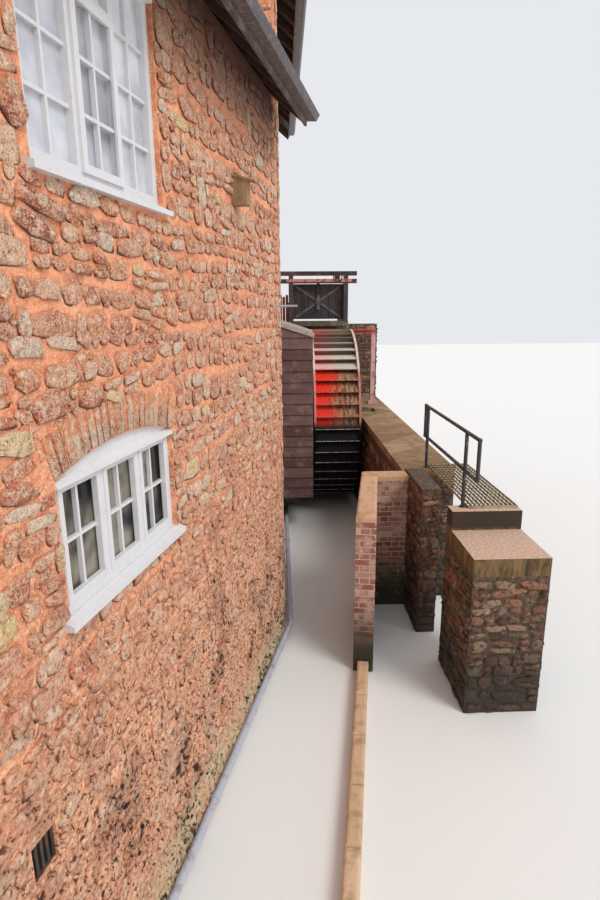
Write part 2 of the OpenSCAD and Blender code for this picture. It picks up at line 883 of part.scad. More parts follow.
module eaves_boards() {
    color("#4b4038") {
        trim_at_gable() both_sides(wing_depth) translate([0, wing_back, 0])
            fascia(wing_wall_h, wing_len + wing_back + verge_over);
        wing_place() both_sides(wing_depth) translate([0, fascia_t - wing_len - verge_over, 0])
            verge_board(wing_depth, wing_wall_h);
        part_place() both_sides(mill_depth) {
            translate([0, mill_len + verge_over, 0]) fascia(mill_wall_h, mill_len + 2 * verge_over);
            for (y = [fascia_t - verge_over, mill_len + verge_over])
                translate([0, y, 0]) verge_board(mill_depth, mill_wall_h);
        }
    }
}

module gutters() {
    color("#2b2d30") {
        trim_at_gable() both_sides(wing_depth) translate([0, wing_back, 0])
            gutter(wing_wall_h, wing_len + wing_back + verge_over);
        part_place() both_sides(mill_depth) translate([0, mill_len + verge_over, 0])
            gutter(mill_wall_h, mill_len + 2 * verge_over);
    }
}

// One straight run of the pipe along Y from its bend, with collars and clips to the wall
module pipe_run(x, len) {
    collar = pipe_r + collar_t;
    rotate([-90, 0, 0]) cylinder(h = len, r = pipe_r);
    for (y = [pipe_pitch / 2 : pipe_pitch : len - pipe_pitch / 4]) {
        translate([0, y, 0]) rotate([-90, 0, 0]) cylinder(h = collar_l, r = collar);
        translate([seat - x, y + collar_l / 2 - clip_t / 2, -clip_t]) cube([x - seat, clip_t, 2 * clip_t]);
    }
}

// Plastic pipe along the foot of both front walls; its bores stop short of the bend
module foot_pipe() {
    bend_y = (pipe_mill_x * cos(cant) - pipe_wing_x) / sin(cant);
    bend_t = pipe_mill_x * sin(cant) + bend_y * cos(cant);
    wing_run = wing_len - pipe_pitch / 2 + bend_t;
    mill_run = pipe_end_y - bend_y;
    bore = pipe_r - pipe_t;
    difference() {
        union() {
            translate([pipe_mill_x, bend_y, pipe_z]) pipe_run(pipe_mill_x, mill_run);
            rotate([0, 0, -cant]) translate([pipe_wing_x, bend_t, pipe_z]) mirror([0, 1, 0])
                pipe_run(pipe_wing_x, wing_run);
            translate([pipe_mill_x, bend_y, pipe_z]) sphere(pipe_r + collar_t);
        }
        translate([pipe_mill_x, bend_y + collar_l, pipe_z]) rotate([-90, 0, 0])
            cylinder(h = mill_run, r = bore);
        rotate([0, 0, -cant]) translate([pipe_wing_x, bend_t - collar_l, pipe_z]) rotate([90, 0, 0])
            cylinder(h = wing_run, r = bore);
    }
}

// Short overflow pipe that stands out of the wing's wall near the corner
module overflow_pipe() {
    on_wing_river(overflow_y) translate([seat, 0, overflow_z]) rotate([0, 90, 0]) difference() {
        cylinder(h = overflow_l, r = overflow_r);
        translate([0, 0, -past]) cylinder(h = overflow_l + 2 * past, r = overflow_r - pipe_t);
    }
}

module wall_pipes() {
    color("#c9ccd2") part_place() {
        foot_pipe();
        overflow_pipe();
    }
}

module low_window() {
    color("white") part_place() on_wing_river(wing_low[0]) translate([0, 0, wing_low[1]]) low_frame();
}

module tall_window() {
    color("white") part_place() on_wing_river(wing_tall[0])
        translate([0, 0, wing_tall[1]]) tall_frame();
}

// The middle light's opening sash stands proud of its frame and laps it all round
module tall_casement() {
    lap = sash_w / 2;
    color("white") part_place() on_wing_river(wing_tall[0])
        translate([-recess, -light_w / 2 - lap, wing_tall[1] + frame_w - lap]) difference() {
            cube([recess / 2, light_w + 2 * lap, casement_h]);
            translate([-past, sash_w, sash_w])
                cube([recess + past, light_w + 2 * lap - 2 * sash_w, casement_h - 2 * sash_w]);
        }
}

module window_sills() {
    color("white") part_place() {
        on_wing_river(wing_low[0]) translate([0, 0, wing_low[1]]) sill();
        on_wing_river(wing_tall[0]) translate([0, 0, wing_tall[1]]) sill();
        on_wing_land(wing_land_y) translate([0, 0, wing_low[1]]) sill();
        on_wing_land(wing_land_y) translate([0, 0, wing_tall[1]]) sill();
        on_wing_end() translate([0, 0, wing_low[1]]) sill();
        on_wing_end() translate([0, 0, wing_tall[1]]) sill();
        for (y = mill_columns) {
            on_mill_land(y) translate([0, 0, sill_top_low]) sill();
            for (z = mill_rows)
                on_mill_land(y) translate([0, 0, z]) sill();
        }
        on_mill_far() translate([0, 0, sill_top_low]) sill();
        for (z = mill_rows)
            on_mill_far() translate([0, 0, z]) sill();
    }
}

module window_arches() {
    color("#b4553c") part_place() {
        on_wing_river(wing_low[0]) translate([0, 0, wing_low[1]]) arch_bricks();
        on_wing_land(wing_land_y) translate([0, 0, wing_low[1]]) arch_bricks();
        on_wing_end() translate([0, 0, wing_low[1]]) arch_bricks();
        for (y = mill_columns)
            on_mill_land(y) translate([0, 0, sill_top_low]) arch_bricks();
        on_mill_far() translate([0, 0, sill_top_low]) arch_bricks();
    }
}

// The windows of the hidden sides repeat the two of the front wall
module plain_windows() {
    color("white") part_place() {
        on_wing_land(wing_land_y) translate([0, 0, wing_low[1]]) low_frame();
        on_wing_land(wing_land_y) translate([0, 0, wing_tall[1]]) tall_frame();
        on_wing_end() translate([0, 0, wing_low[1]]) low_frame();
        on_wing_end() translate([0, 0, wing_tall[1]]) tall_frame();
        for (y = mill_columns) {
            on_mill_land(y) translate([0, 0, sill_top_low]) low_frame();
            for (z = mill_rows)
                on_mill_land(y) translate([0, 0, z]) tall_frame();
        }
        on_mill_far() translate([0, 0, sill_top_low]) low_frame();
        for (z = mill_rows)
            on_mill_far() translate([0, 0, z]) tall_frame();
    }
}

module window_glass() {
    color("#9fb0b5") part_place() {
        on_wing_river(wing_low[0]) translate([0, 0, wing_low[1]]) low_panes();
        on_wing_river(wing_tall[0]) translate([0, 0, wing_tall[1]]) tall_panes();
        on_wing_land(wing_land_y) translate([0, 0, wing_low[1]]) low_panes();
        on_wing_land(wing_land_y) translate([0, 0, wing_tall[1]]) tall_panes();
        on_wing_end() translate([0, 0, wing_low[1]]) low_panes();
        on_wing_end() translate([0, 0, wing_tall[1]]) tall_panes();
        for (y = mill_columns) {
            on_mill_land(y) translate([0, 0, sill_top_low]) low_panes();
            for (z = mill_rows)
                on_mill_land(y) translate([0, 0, z]) tall_panes();
        }
        on_mill_far() translate([0, 0, sill_top_low]) low_panes();
        for (z = mill_rows)
            on_mill_far() translate([0, 0, z]) tall_panes();
    }
}

// Boarded door on three ledges, in a frame of two jambs and a head
module land_door() {
    leaf_w = door_w - 2 * frame_w;
    leaf_h = door_h - frame_w;
    leaf_x = frame_d - door_t - recess / 2;
    ledge_step = (leaf_h - 3 * ledge_z) / 2;
    color("#5b4a3c") part_place() on_wing_land(door_y)
        translate([-recess - frame_d, -door_w / 2, ground_floor_z]) {
            difference() {
                cube([frame_d, door_w, door_h]);
                translate([-past, frame_w, -past]) cube([frame_d + 2 * past, leaf_w, leaf_h + past]);
            }
            translate([leaf_x, frame_w, 0]) cube([door_t, leaf_w, leaf_h]);
            for (i = [0 : 2])
                translate([leaf_x - ledge_t, frame_w, ledge_z + i * ledge_step])
                    cube([ledge_t, leaf_w, ledge_z]);
        }
}

// Wooden box with a sloping lid that laps its front and sides
module wall_box() {
    lid_over = 70;
    lid_side = 12;
    lid_t = 16;
    front_h = box_h - box_fall;
    slope = box_fall / box_out;
    lid_x = box_out + lid_over;
    color("#6b5346") part_place() on_wing_river(box_y) {
        translate([0, box_w / 2, box_z]) rotate([90, 0, 0]) linear_extrude(box_w)
            polygon([[0, 0], [box_out, box_rise], [box_out, front_h], [0, box_h]]);
        translate([0, box_w / 2 + lid_side, box_z + box_h]) rotate([90, 0, 0])
            linear_extrude(box_w + 2 * lid_side)
                polygon([[0, 0], [lid_x, -lid_x * slope], [lid_x, lid_t - lid_x * slope], [0, lid_t]]);
    }
}

// Cast grille with upright bars, set back in its hole
module wall_vent() {
    bar = 18;
    cast_t = 50;
    color("#3a3532") part_place() on_wing_river(vent_y)
        translate([-past - cast_t, -vent_w / 2, vent_z]) difference() {
            cube([cast_t, vent_w, vent_h]);
            for (i = [0 : 3])
                translate([-past, bar + i * (vent_w - bar) / 4, bar])
                    cube([cast_t + 2 * past, (vent_w - bar) / 4 - bar, vent_h - 2 * bar]);
        }
}

// Top of the housing's boards, falling from the wall to its outer edge
function lean_z(x) = housing_top_z - housing_fall * x / housing_w;

module housing_boards() {
    side_y = housing_y + board_t;
    side_top = beam_top - beam_h - clear;
    color("#5a4238") part_place() {
        translate([0, side_y, 0]) rotate([90, 0, 0]) linear_extrude(board_t)
            polygon([[0, housing_z], [housing_w, housing_z], [housing_w, lean_z(housing_w)],
                     [0, lean_z(0)]]);
        difference() {
            translate([housing_w - board_t, 0, 0]) rotate([90, 0, 90]) linear_extrude(board_t)
                polygon([
                    [side_y + seat, housing_z], [back_y - seat, housing_z],
                    [back_y - seat, side_top],
                    [lean_end_y, side_top],
                    [lean_end_y, lean_z(housing_w)], [side_y + seat, lean_z(housing_w)]
                ]);
            translate([housing_w - board_t - past, wheel_y, wheel_z]) rotate([0, 90, 0])
                cylinder(h = board_t + 2 * past, r = journal_r + journal_way);
        }
    }
}

module housing_frame() {
    inner = housing_w - board_t;
    front = housing_y + board_t;
    high_rail_z = lean_z(inner) - 4 * batten;
    color("#4a372f") part_place() {
        // Post against the wall, post at the outer corner, and rails between and behind them
        translate([0, front, housing_z]) cube([batten, batten, lean_z(batten) - housing_z]);
        translate([inner - batten, front, housing_z])
            cube([batten, batten, lean_z(inner) - housing_z]);
        translate([0, front, housing_z]) cube([inner, batten, batten]);
        translate([inner - batten, front, housing_z])
            cube([batten, back_y - front, batten]);
        translate([0, back_y - batten, housing_z]) cube([inner, batten, batten]);
        translate([inner - batten, front, high_rail_z])
            cube([batten, back_y - front, batten]);
        translate([0, back_y - batten, high_rail_z])
            cube([inner, batten, batten]);
        translate([inner - batten, back_y - batten, housing_z])
            cube([batten, batten, high_rail_z + batten - housing_z]);
    }
}

module housing_roof() {
    slope = housing_fall / housing_w;
    reach = housing_w + lean_side;
    color("#a9a59d") part_place() translate([0, lean_end_y, seat]) rotate([90, 0, 0])
        linear_extrude(lean_end_y - lean_y)
            polygon([[0, lean_z(0)], [reach, lean_z(0) - slope * reach],
                     [reach, lean_z(0) - slope * reach + lean_t], [0, lean_z(0) + lean_t]]);
}

// Brings a shape drawn round Z to the wheel's axle, with its height along X
module on_axle(x) {
    part_place() translate([x, wheel_y, wheel_z]) rotate([0, 90, 0]) children();
}

module ring(outer, inner, h) {
    difference() {
        cylinder(h = h, r = outer, $fn = 96);
        translate([0, 0, -past]) cylinder(h = h + 2 * past, r = inner, $fn = 96);
    }
}

module wheel_shrouds() {
    color("#c2453a") {
        on_axle(wheel_x) ring(wheel_r, sole_r - shroud_in, shroud_t);
        on_axle(wheel_end_x - shroud_t) ring(wheel_r, sole_r - shroud_in, shroud_t);
    }
}

module wheel_sole() {
    color("#7a3a2f") on_axle(wheel_x + shroud_t)
        ring(sole_r, sole_r - bucket_t, wheel_w - 2 * shroud_t);
}

// Side view of a bucket: a straight riser off the sole, then a raking front plate
module bucket_outline() {
    step = 360 / bucket_n;
    elbow_r = sole_r + bucket_d * elbow_share;
    tip_in = 2;
    tip_r = wheel_r - tip_in;
    tip = step * tip_share;
    t = bucket_t;
    sweep = [cos(tip), sin(tip)];
    across = [sin(tip), -cos(tip)];
    polygon([
        [sole_r + seat, 0], [elbow_r, 0], tip_r * sweep,
        tip_r * sweep + t * across, [elbow_r + t / 2, -t], [sole_r + seat, -t]
    ]);
}

module wheel_buckets() {
    color("#b8352b") on_axle(wheel_x + shroud_t)
        for (i = [0 : bucket_n - 1])
            rotate(i * 360 / bucket_n)
                linear_extrude(wheel_w - 2 * shroud_t) bucket_outline();
}

// One tapered arm with a rib along it
module arm() {
    reach = sole_r - bucket_t - arm_gap;
    linear_extrude(arm_t) polygon([
        [hub_in, -arm_w / 2], [reach, -arm_tip_w / 2], [reach, arm_tip_w / 2], [hub_in, arm_w / 2]
    ]);
    translate([hub_in, -arm_t / 4, 0]) cube([reach - hub_in, arm_t / 2, arm_t + arm_rib]);
}

// One side's arms and hub, with the hub's face towards the wheel's middle
module arm_set() {
    difference() {
        union() {
            for (i = [0 : arm_n - 1])
                rotate((i + 0.5) * 360 / arm_n) arm();
            cylinder(h = hub_t, r = hub_r);
            cylinder(h = boss_l, r = axle_r + boss_t);
        }
        translate([0, 0, -past]) cylinder(h = boss_l + 2 * past, r = axle_r + seat);
    }
}

module wheel_arms() {
    color("#5d3a31") {
        on_axle(wheel_x + shroud_t) arm_set();
        on_axle(wheel_end_x - shroud_t) mirror([0, 0, 1]) arm_set();
    }
}

module wheel_axle() {
    inner_end = bearing_xs[0] - axle_past;
    outer_end = bearing_xs[1] + bearing_l + axle_past;
    color("#4f4a47") on_axle(0) {
        translate([0, 0, wheel_x - axle_past / 2]) cylinder(h = wheel_w + axle_past, r = axle_r);
        translate([0, 0, inner_end]) cylinder(h = outer_end - inner_end, r = journal_r);
    }
}

// Split bearing block that stands on the floor of its notch
module bearing() {
    foot_w = notch_w - 2 * axle_past;
    foot_h = 40;
    body_t = 45;
    body_r = journal_r + body_t;
    difference() {
        union() {
            translate([-foot_w / 2, -notch_drop, 0]) cube([foot_w, foot_h, bearing_l]);
            translate([-body_r, -notch_drop, 0]) cube([2 * body_r, notch_drop, bearing_l]);
            cylinder(h = bearing_l, r = body_r);
        }
        translate([0, 0, -past]) cylinder(h = bearing_l + 2 * past, r = journal_r + journal_gap);
    }
}

module axle_bearings() {
    color("#3d3a38") part_place()
        for (x = bearing_xs)
            translate([x, wheel_y, wheel_z]) rotate([90, 0, 90]) bearing();
}

// Notch that lets the axle lie in the top of the pit wall
module bearing_notch() {
    translate([pit_x - past, wheel_y - notch_w / 2, notch_z])
        cube([notch_l + past, notch_w, walk_z - notch_z + past]);
}

module pit_wall() {
    color("#6f5140") part_place() difference() {
        union() {
            translate([pit_x, pit_near_y, 0])
                cube([pit_wall_t, back_y - pit_near_y, walk_z - slab_t]);
            translate([head_x, pit_near_y - head_len, 0]) cube([head_w, head_len, walk_z]);
        }
        bearing_notch();
    }
}

module pit_back_wall() {
    color("#6f5140") part_place() translate([0, back_y, 0])
        cube([pit_x + pit_wall_t, back_t, trough_z - plank_t]);
}

module walkway_slabs() {
    run = back_y - pit_near_y - 2 * seat;
    slab_l = (run - (slab_n - 1) * slab_joint) / slab_n;
    color("#7d6a55") part_place() difference() {
        for (i = [0 : slab_n - 1])
            translate([pit_x, pit_near_y + seat + i * (slab_l + slab_joint), walk_z - slab_t])
                cube([pit_wall_t, slab_l, slab_t]);
        bearing_notch();
    }
}

// A point of the long leg: u in from its outer face, v down from the corner
function leg_point(u, v) = [
    brick_x + u * cos(brick_angle) - v * sin(brick_angle),
    pit_near_y - u * sin(brick_angle) - v * cos(brick_angle)
];

// Where lines that run u in from the outer faces of leg and cross arm meet
function mitre_point(u) = [
    brick_x + u * (cos(brick_angle) - tan(brick_angle) * (1 - sin(brick_angle))),
    pit_near_y - u
];

// Plans of the long leg and of the cross arm, drawn in by e on both faces
function leg_plan(e) = [
    mitre_point(e), leg_point(e, leg_len), leg_point(brick_t - e, leg_len), mitre_point(brick_t - e)
];
function arm_plan(e) = [
    mitre_point(e), mitre_point(brick_t - e), [arm_end_x, brick_near_y + e], [arm_end_x, pit_near_y - e]
];

module brick_wall() {
    color("#9d5a47") part_place() linear_extrude(brick_h) polygon([
        mitre_point(0), leg_point(0, leg_len), leg_point(brick_t, leg_len), mitre_point(brick_t),
        [arm_end_x, brick_near_y], [arm_end_x, pit_near_y]
    ]);
}

// A coping whose two top edges are taken off along its run
module capped(low, top) {
    hull() {
        linear_extrude(coping_h - coping_edge) polygon(low);
        linear_extrude(coping_h) polygon(top);
    }
}

module brick_coping() {
    color("#b9a282") part_place() translate([0, 0, brick_h]) {
        capped(leg_plan(0), leg_plan(coping_edge));
        capped(arm_plan(0), arm_plan(coping_edge));
    }
}

// The kerb wall runs on from the middle of the brick wall's end
module kerb_wall() {
    color("#9c8058") part_place() translate([brick_x, pit_near_y, 0]) rotate([0, 0, -brick_angle])
        translate([(brick_t - kerb_t) / 2, -leg_len - seat, 0]) rotate([90, 0, 0])
            linear_extrude(kerb_len) polygon([
                [0, 0], [kerb_t, 0], [kerb_t, kerb_h - coping_edge], [kerb_t - coping_edge, kerb_h],
                [coping_edge, kerb_h], [0, kerb_h - coping_edge]
            ]);
}

module trough_post() {
    top = beam_top - beam_h;
    color("#b08a80") part_place() {
        translate([post_x - post_w / 2, beam_y - post_w / 2, walk_z + block_h])
            cube([post_w, post_w, top - walk_z - block_h]);
        translate([post_x - block_w / 2, beam_y - block_w / 2, walk_z])
            cube([block_w, block_w, block_h]);
    }
}

// Steel beam of I section from the mill's wall to the post
module trough_beam() {
    len = post_x + post_w / 2;
    web = 12;
    color("#a03a30") part_place() translate([0, beam_y, beam_top - beam_h]) {
        translate([0, -beam_w / 2, 0]) cube([len, beam_w, flange_t]);
        translate([0, -beam_w / 2, beam_h - flange_t]) cube([len, beam_w, flange_t]);
        translate([0, -web / 2, 0]) cube([len, web, beam_h]);
    }
}

// Timber trough that leads to the top of the wheel
module trough() {
    side_y = gate_y + stile_d;
    end_y = back_y + back_t;
    color("#5a4f45") part_place() {
        translate([trough_x, lip_y, trough_z - plank_t])
            cube([trough_end_x - trough_x, end_y - lip_y, plank_t]);
        for (x = [trough_x, trough_end_x - plank_t])
            translate([x, side_y, trough_z]) cube([plank_t, end_y - side_y, trough_h]);
        translate([trough_x, beam_y - beam_w / 2, beam_top])
            cube([trough_end_x - trough_x, beam_w, bearer_h]);
        // Plank on edge at the lip
        translate([trough_x, lip_y, trough_z]) cube([trough_end_x - trough_x, lip_d, lip_h]);
    }
}

// Old boards that close the way between the mill's wall and the sluice
module cheek_boards() {
    gap = 12;
    stagger = 40;
    w = (trough_x - (cheek_n + 1) * gap) / cheek_n;
    color("#a4603c") part_place()
        for (i = [0 : cheek_n - 1])
            translate([gap + i * (w + gap), beam_y - cheek_t / 2, beam_top])
                cube([w, cheek_t, cheek_h - stagger * (i % 2)]);
}

// A side post with the groove that the gate slides in, its inner face at x = 0
module sluice_stile() {
    difference() {
        translate([-stile_w, 0, 0]) cube([stile_w, stile_d, stile_h]);
        translate([-groove_d, groove_y - seat, -past])
            cube([groove_d + past, gate_t + gate_gap + seat, stile_h + 2 * past]);
    }
}

module sluice_frame() {
    low_rail_z = trough_z + stile_h;
    rail_len = trough_end_x + rail_over;
    color("#33302f") part_place() {
        translate([trough_x + stile_w, gate_y, trough_z]) sluice_stile();
        translate([trough_end_x - stile_w, gate_y, trough_z]) mirror([1, 0, 0]) sluice_stile();
        for (z = [low_rail_z, low_rail_z + rail_h + rail_gap])
            translate([0, gate_y, z]) cube([rail_len, rail_d, rail_h]);
        for (x = [trough_x, trough_end_x - stile_w])
            translate([x, gate_y, low_rail_z + rail_h]) cube([stile_w, rail_d, rail_gap]);
        // Bearing block of the winch, between the rails and out behind them
        translate([winch_x, gate_y, winch_z]) difference() {
            union() {
                translate([-hand_r / 2, 0, -rail_gap / 2]) cube([hand_r, rail_d, rail_gap]);
                translate([-hand_r / 2, rail_d, -rail_h]) cube([hand_r, box_d, 2 * rail_h]);
            }
            translate([0, -past, 0]) rotate([-90, 0, 0])
                cylinder(h = rail_d + past, r = shaft_r + journal_gap);
        }
    }
}

// Boarded gate with crossed braces, two battens and a middle stem
module sluice_gate() {
    w = trough_end_x - trough_x - 2 * stile_w;
    face = w - 4 * gate_gap;
    tongue = groove_d - gate_gap;
    brace_len = sqrt(pow(face - brace_w, 2) + pow(gate_h - brace_w, 2));
    brace_a = atan2(gate_h - brace_w, face - brace_w);
    color("#2f2c2b") part_place()
        translate([trough_x + stile_w + w / 2, gate_y + groove_y, trough_z + gate_lift]) {
            translate([-w / 2 - tongue, 0, 0]) cube([w + 2 * tongue, gate_t, gate_h]);
            translate([0, -brace_t, gate_h / 2])
                for (side = [-1, 1]) {
                    rotate([0, side * brace_a, 0])
                        translate([-brace_len / 2, 0, -brace_w / 2]) cube([brace_len, brace_t, brace_w]);
                    translate([side * face / 4 - brace_w / 2, 0, -gate_h / 2])
                        cube([brace_w, brace_t, gate_h]);
                }
            translate([-stem_w / 2, -stem_d, gate_h - stem_h]) cube([stem_w, stem_d, stem_h + stem_up]);
        }
}

// Hand wheel on its shaft, facing away from the rails
module sluice_winch() {
    rim = 11;
    reach = 70;
    hub = 25;
    spokes = 4;
    color("#2a2a2c") part_place() translate([winch_x, gate_y - reach, winch_z]) rotate([-90, 0, 0]) {
        rotate_extrude() translate([hand_r - rim, 0]) circle(rim, $fn = 24);
        cylinder(h = 2 * rim, r = hub);
        for (i = [0 : spokes - 1])
            rotate(i * 360 / spokes) rotate([0, 90, 0]) cylinder(h = hand_r - rim, r = rim / 2, $fn = 16);
        cylinder(h = rail_d + reach - seat, r = shaft_r);
    }
}

// Rubble pier opposite the head of the pit wall
module bank_pier() {
    color("#6f5140") part_place() translate([pier_x, bridge_near_y - pier_l, 0])
        cube([pier_w, pier_l, pier_h]);
}

// Concrete landing on the pier, with the raised block that the footbridge rests on
module landing() {
    rest_top = walk_z - pier_h;
    color("#a08a72") part_place() translate([pier_x, bridge_near_y, pier_h]) rotate([90, 0, 90])
        linear_extrude(pier_w) polygon([
            [-pier_l, 0], [0, 0], [0, rest_top], [-rest_l, rest_top], [-rest_l, landing_t],
            [-pier_l, landing_t]
        ]);
}

// Steel grating of long flat bars and lower cross bars inside its frame
module footbridge() {
    len = bridge_span + 2 * bridge_rest;
    bars = ceil((bridge_w - grate_t) / grate_pitch);
    step = (bridge_w - grate_t) / bars;
    cross_step = (len - grate_t) / (grate_n + 1);
    color("#5f5f5c") part_place() translate([bridge_x, bridge_near_y - bridge_rest, walk_z + seat]) {
        for (i = [0 : bars])
            translate([i * step, 0, 0]) cube([grate_t, len, grate_h]);
        for (y = [0, len - grate_t])
            translate([0, y, 0]) cube([bridge_w, grate_t, grate_h]);
        for (i = [1 : grate_n])
            translate([0, i * cross_step, grate_h / 2]) cube([bridge_w, grate_t, grate_h / 3]);
    }
}

// Tube along Y from one end of the rails to the other
module rail_tube(z) {
    translate([0, rail_near_y, z]) rotate([-90, 0, 0]) cylinder(h = rail_far_y - rail_near_y, r = rail_r);
}

// Handrail of bent tube beside the footbridge, on two posts with round feet
module bridge_rail() {
    knee_t = 4;
    knee_r = rail_r + knee_t;
    foot_r = 2 * rail_r;
    foot_t = 10;
    color("#3f4043") part_place() translate([bridge_x - foot_r - seat, 0, walk_z + seat]) {
        for (z = [rail_top - rail_drop, rail_top]) {
            rail_tube(z);
            for (y = [rail_near_y, rail_far_y])
                translate([0, y, z]) sphere(knee_r, $fn = 32);
        }
        for (y = [rail_near_y, rail_far_y])
            translate([0, y, rail_top - rail_drop]) cylinder(h = rail_drop, r = rail_r);
        for (y = [bridge_near_y - foot_r, bridge_far_y + foot_r])
            translate([0, y, 0]) {
                cylinder(h = rail_top, r = rail_r);
                cylinder(h = foot_t, r = foot_r);
            }
    }
}

wing_river_wall();
wing_land_wall();
wing_end_wall();
wing_floors();
wing_roof();
mill_river_wall();
mill_land_wall();
mill_near_gable();
mill_far_gable();
mill_floors();
mill_roof();
rafters();
ridge_tiles();
eaves_boards();
gutters();
wall_pipes();
low_window();
tall_window();
tall_casement();
window_sills();
window_arches();
plain_windows();
window_glass();
land_door();
wall_box();
wall_vent();
housing_boards();
housing_frame();
housing_roof();
wheel_shrouds();
wheel_sole();
wheel_buckets();
wheel_arms();
wheel_axle();
axle_bearings();
pit_wall();
pit_back_wall();
walkway_slabs();
brick_wall();
brick_coping();
kerb_wall();
trough_post();
trough_beam();
trough();
cheek_boards();
sluice_frame();
sluice_gate();
sluice_winch();
bank_pier();
landing();
footbridge();
bridge_rail();
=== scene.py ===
import math
import random

import bmesh
import bpy
import numpy as np
from mathutils import Matrix, Vector


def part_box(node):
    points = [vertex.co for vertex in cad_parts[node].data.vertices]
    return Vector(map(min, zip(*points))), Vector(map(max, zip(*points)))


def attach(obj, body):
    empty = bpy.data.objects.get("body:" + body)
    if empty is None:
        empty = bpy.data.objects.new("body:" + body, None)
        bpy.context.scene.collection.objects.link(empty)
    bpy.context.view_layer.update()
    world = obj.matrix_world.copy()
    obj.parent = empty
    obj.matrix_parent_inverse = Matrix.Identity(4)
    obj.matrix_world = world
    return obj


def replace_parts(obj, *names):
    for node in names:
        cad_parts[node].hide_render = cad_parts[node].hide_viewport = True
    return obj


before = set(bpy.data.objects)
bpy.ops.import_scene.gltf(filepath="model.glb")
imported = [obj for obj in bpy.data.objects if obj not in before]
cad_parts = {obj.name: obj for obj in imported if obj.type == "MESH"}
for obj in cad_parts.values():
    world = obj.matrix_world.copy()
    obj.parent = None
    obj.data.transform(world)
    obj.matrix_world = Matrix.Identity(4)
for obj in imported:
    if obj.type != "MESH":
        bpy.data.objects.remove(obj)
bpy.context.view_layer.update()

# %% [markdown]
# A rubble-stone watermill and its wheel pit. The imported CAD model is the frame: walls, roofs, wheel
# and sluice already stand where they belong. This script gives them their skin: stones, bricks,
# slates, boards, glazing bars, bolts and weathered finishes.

# %% [markdown]
# The photograph looks along the front walls and a little down, from beyond the near end of the wing.
# A camera is a place, three turns and a lens. The sensor's 36 mm lie along the picture's long side.

# %% Camera
CAMERA_PLACE = (0.277, -6.825, 4.152)
CAMERA_TURN = (76.04, 0.378, -2.053)
CAMERA_LENS = 22.76

camera_data = bpy.data.cameras.new("camera")
camera_data.lens = CAMERA_LENS
camera_data.sensor_width = 36
camera_data.clip_start = 0.05
camera_data.clip_end = 300
camera = bpy.data.objects.new("camera", camera_data)
bpy.context.scene.collection.objects.link(camera)
camera.location = CAMERA_PLACE
camera.rotation_euler = [math.radians(a) for a in CAMERA_TURN]
bpy.context.scene.camera = camera
bpy.context.scene.view_settings.view_transform = "Standard"
print("lens", CAMERA_LENS, "mm")

# %% [markdown]
# Every finish is a small graph of nodes on one shader. The helpers below keep those graphs short:
# one makes the material, one adds a node, and the rest are the few patterns that a mill needs,
# such as cloudy noise, a ramp of colours and a bump. Colours are written as a paint chip would be
# read, from 0 to 255, and turned into light values once.

# %% Colour and node helpers
def tint(red, green, blue, strength=1.0):
    """A paint chip as the light values that a shader takes, all of them or a share."""
    chip = [c / 255 for c in (red, green, blue)]
    light = [c / 12.92 if c <= 0.04045 else ((c + 0.055) / 1.055) ** 2.4 for c in chip]
    return (*[strength * c for c in light], 1.0)


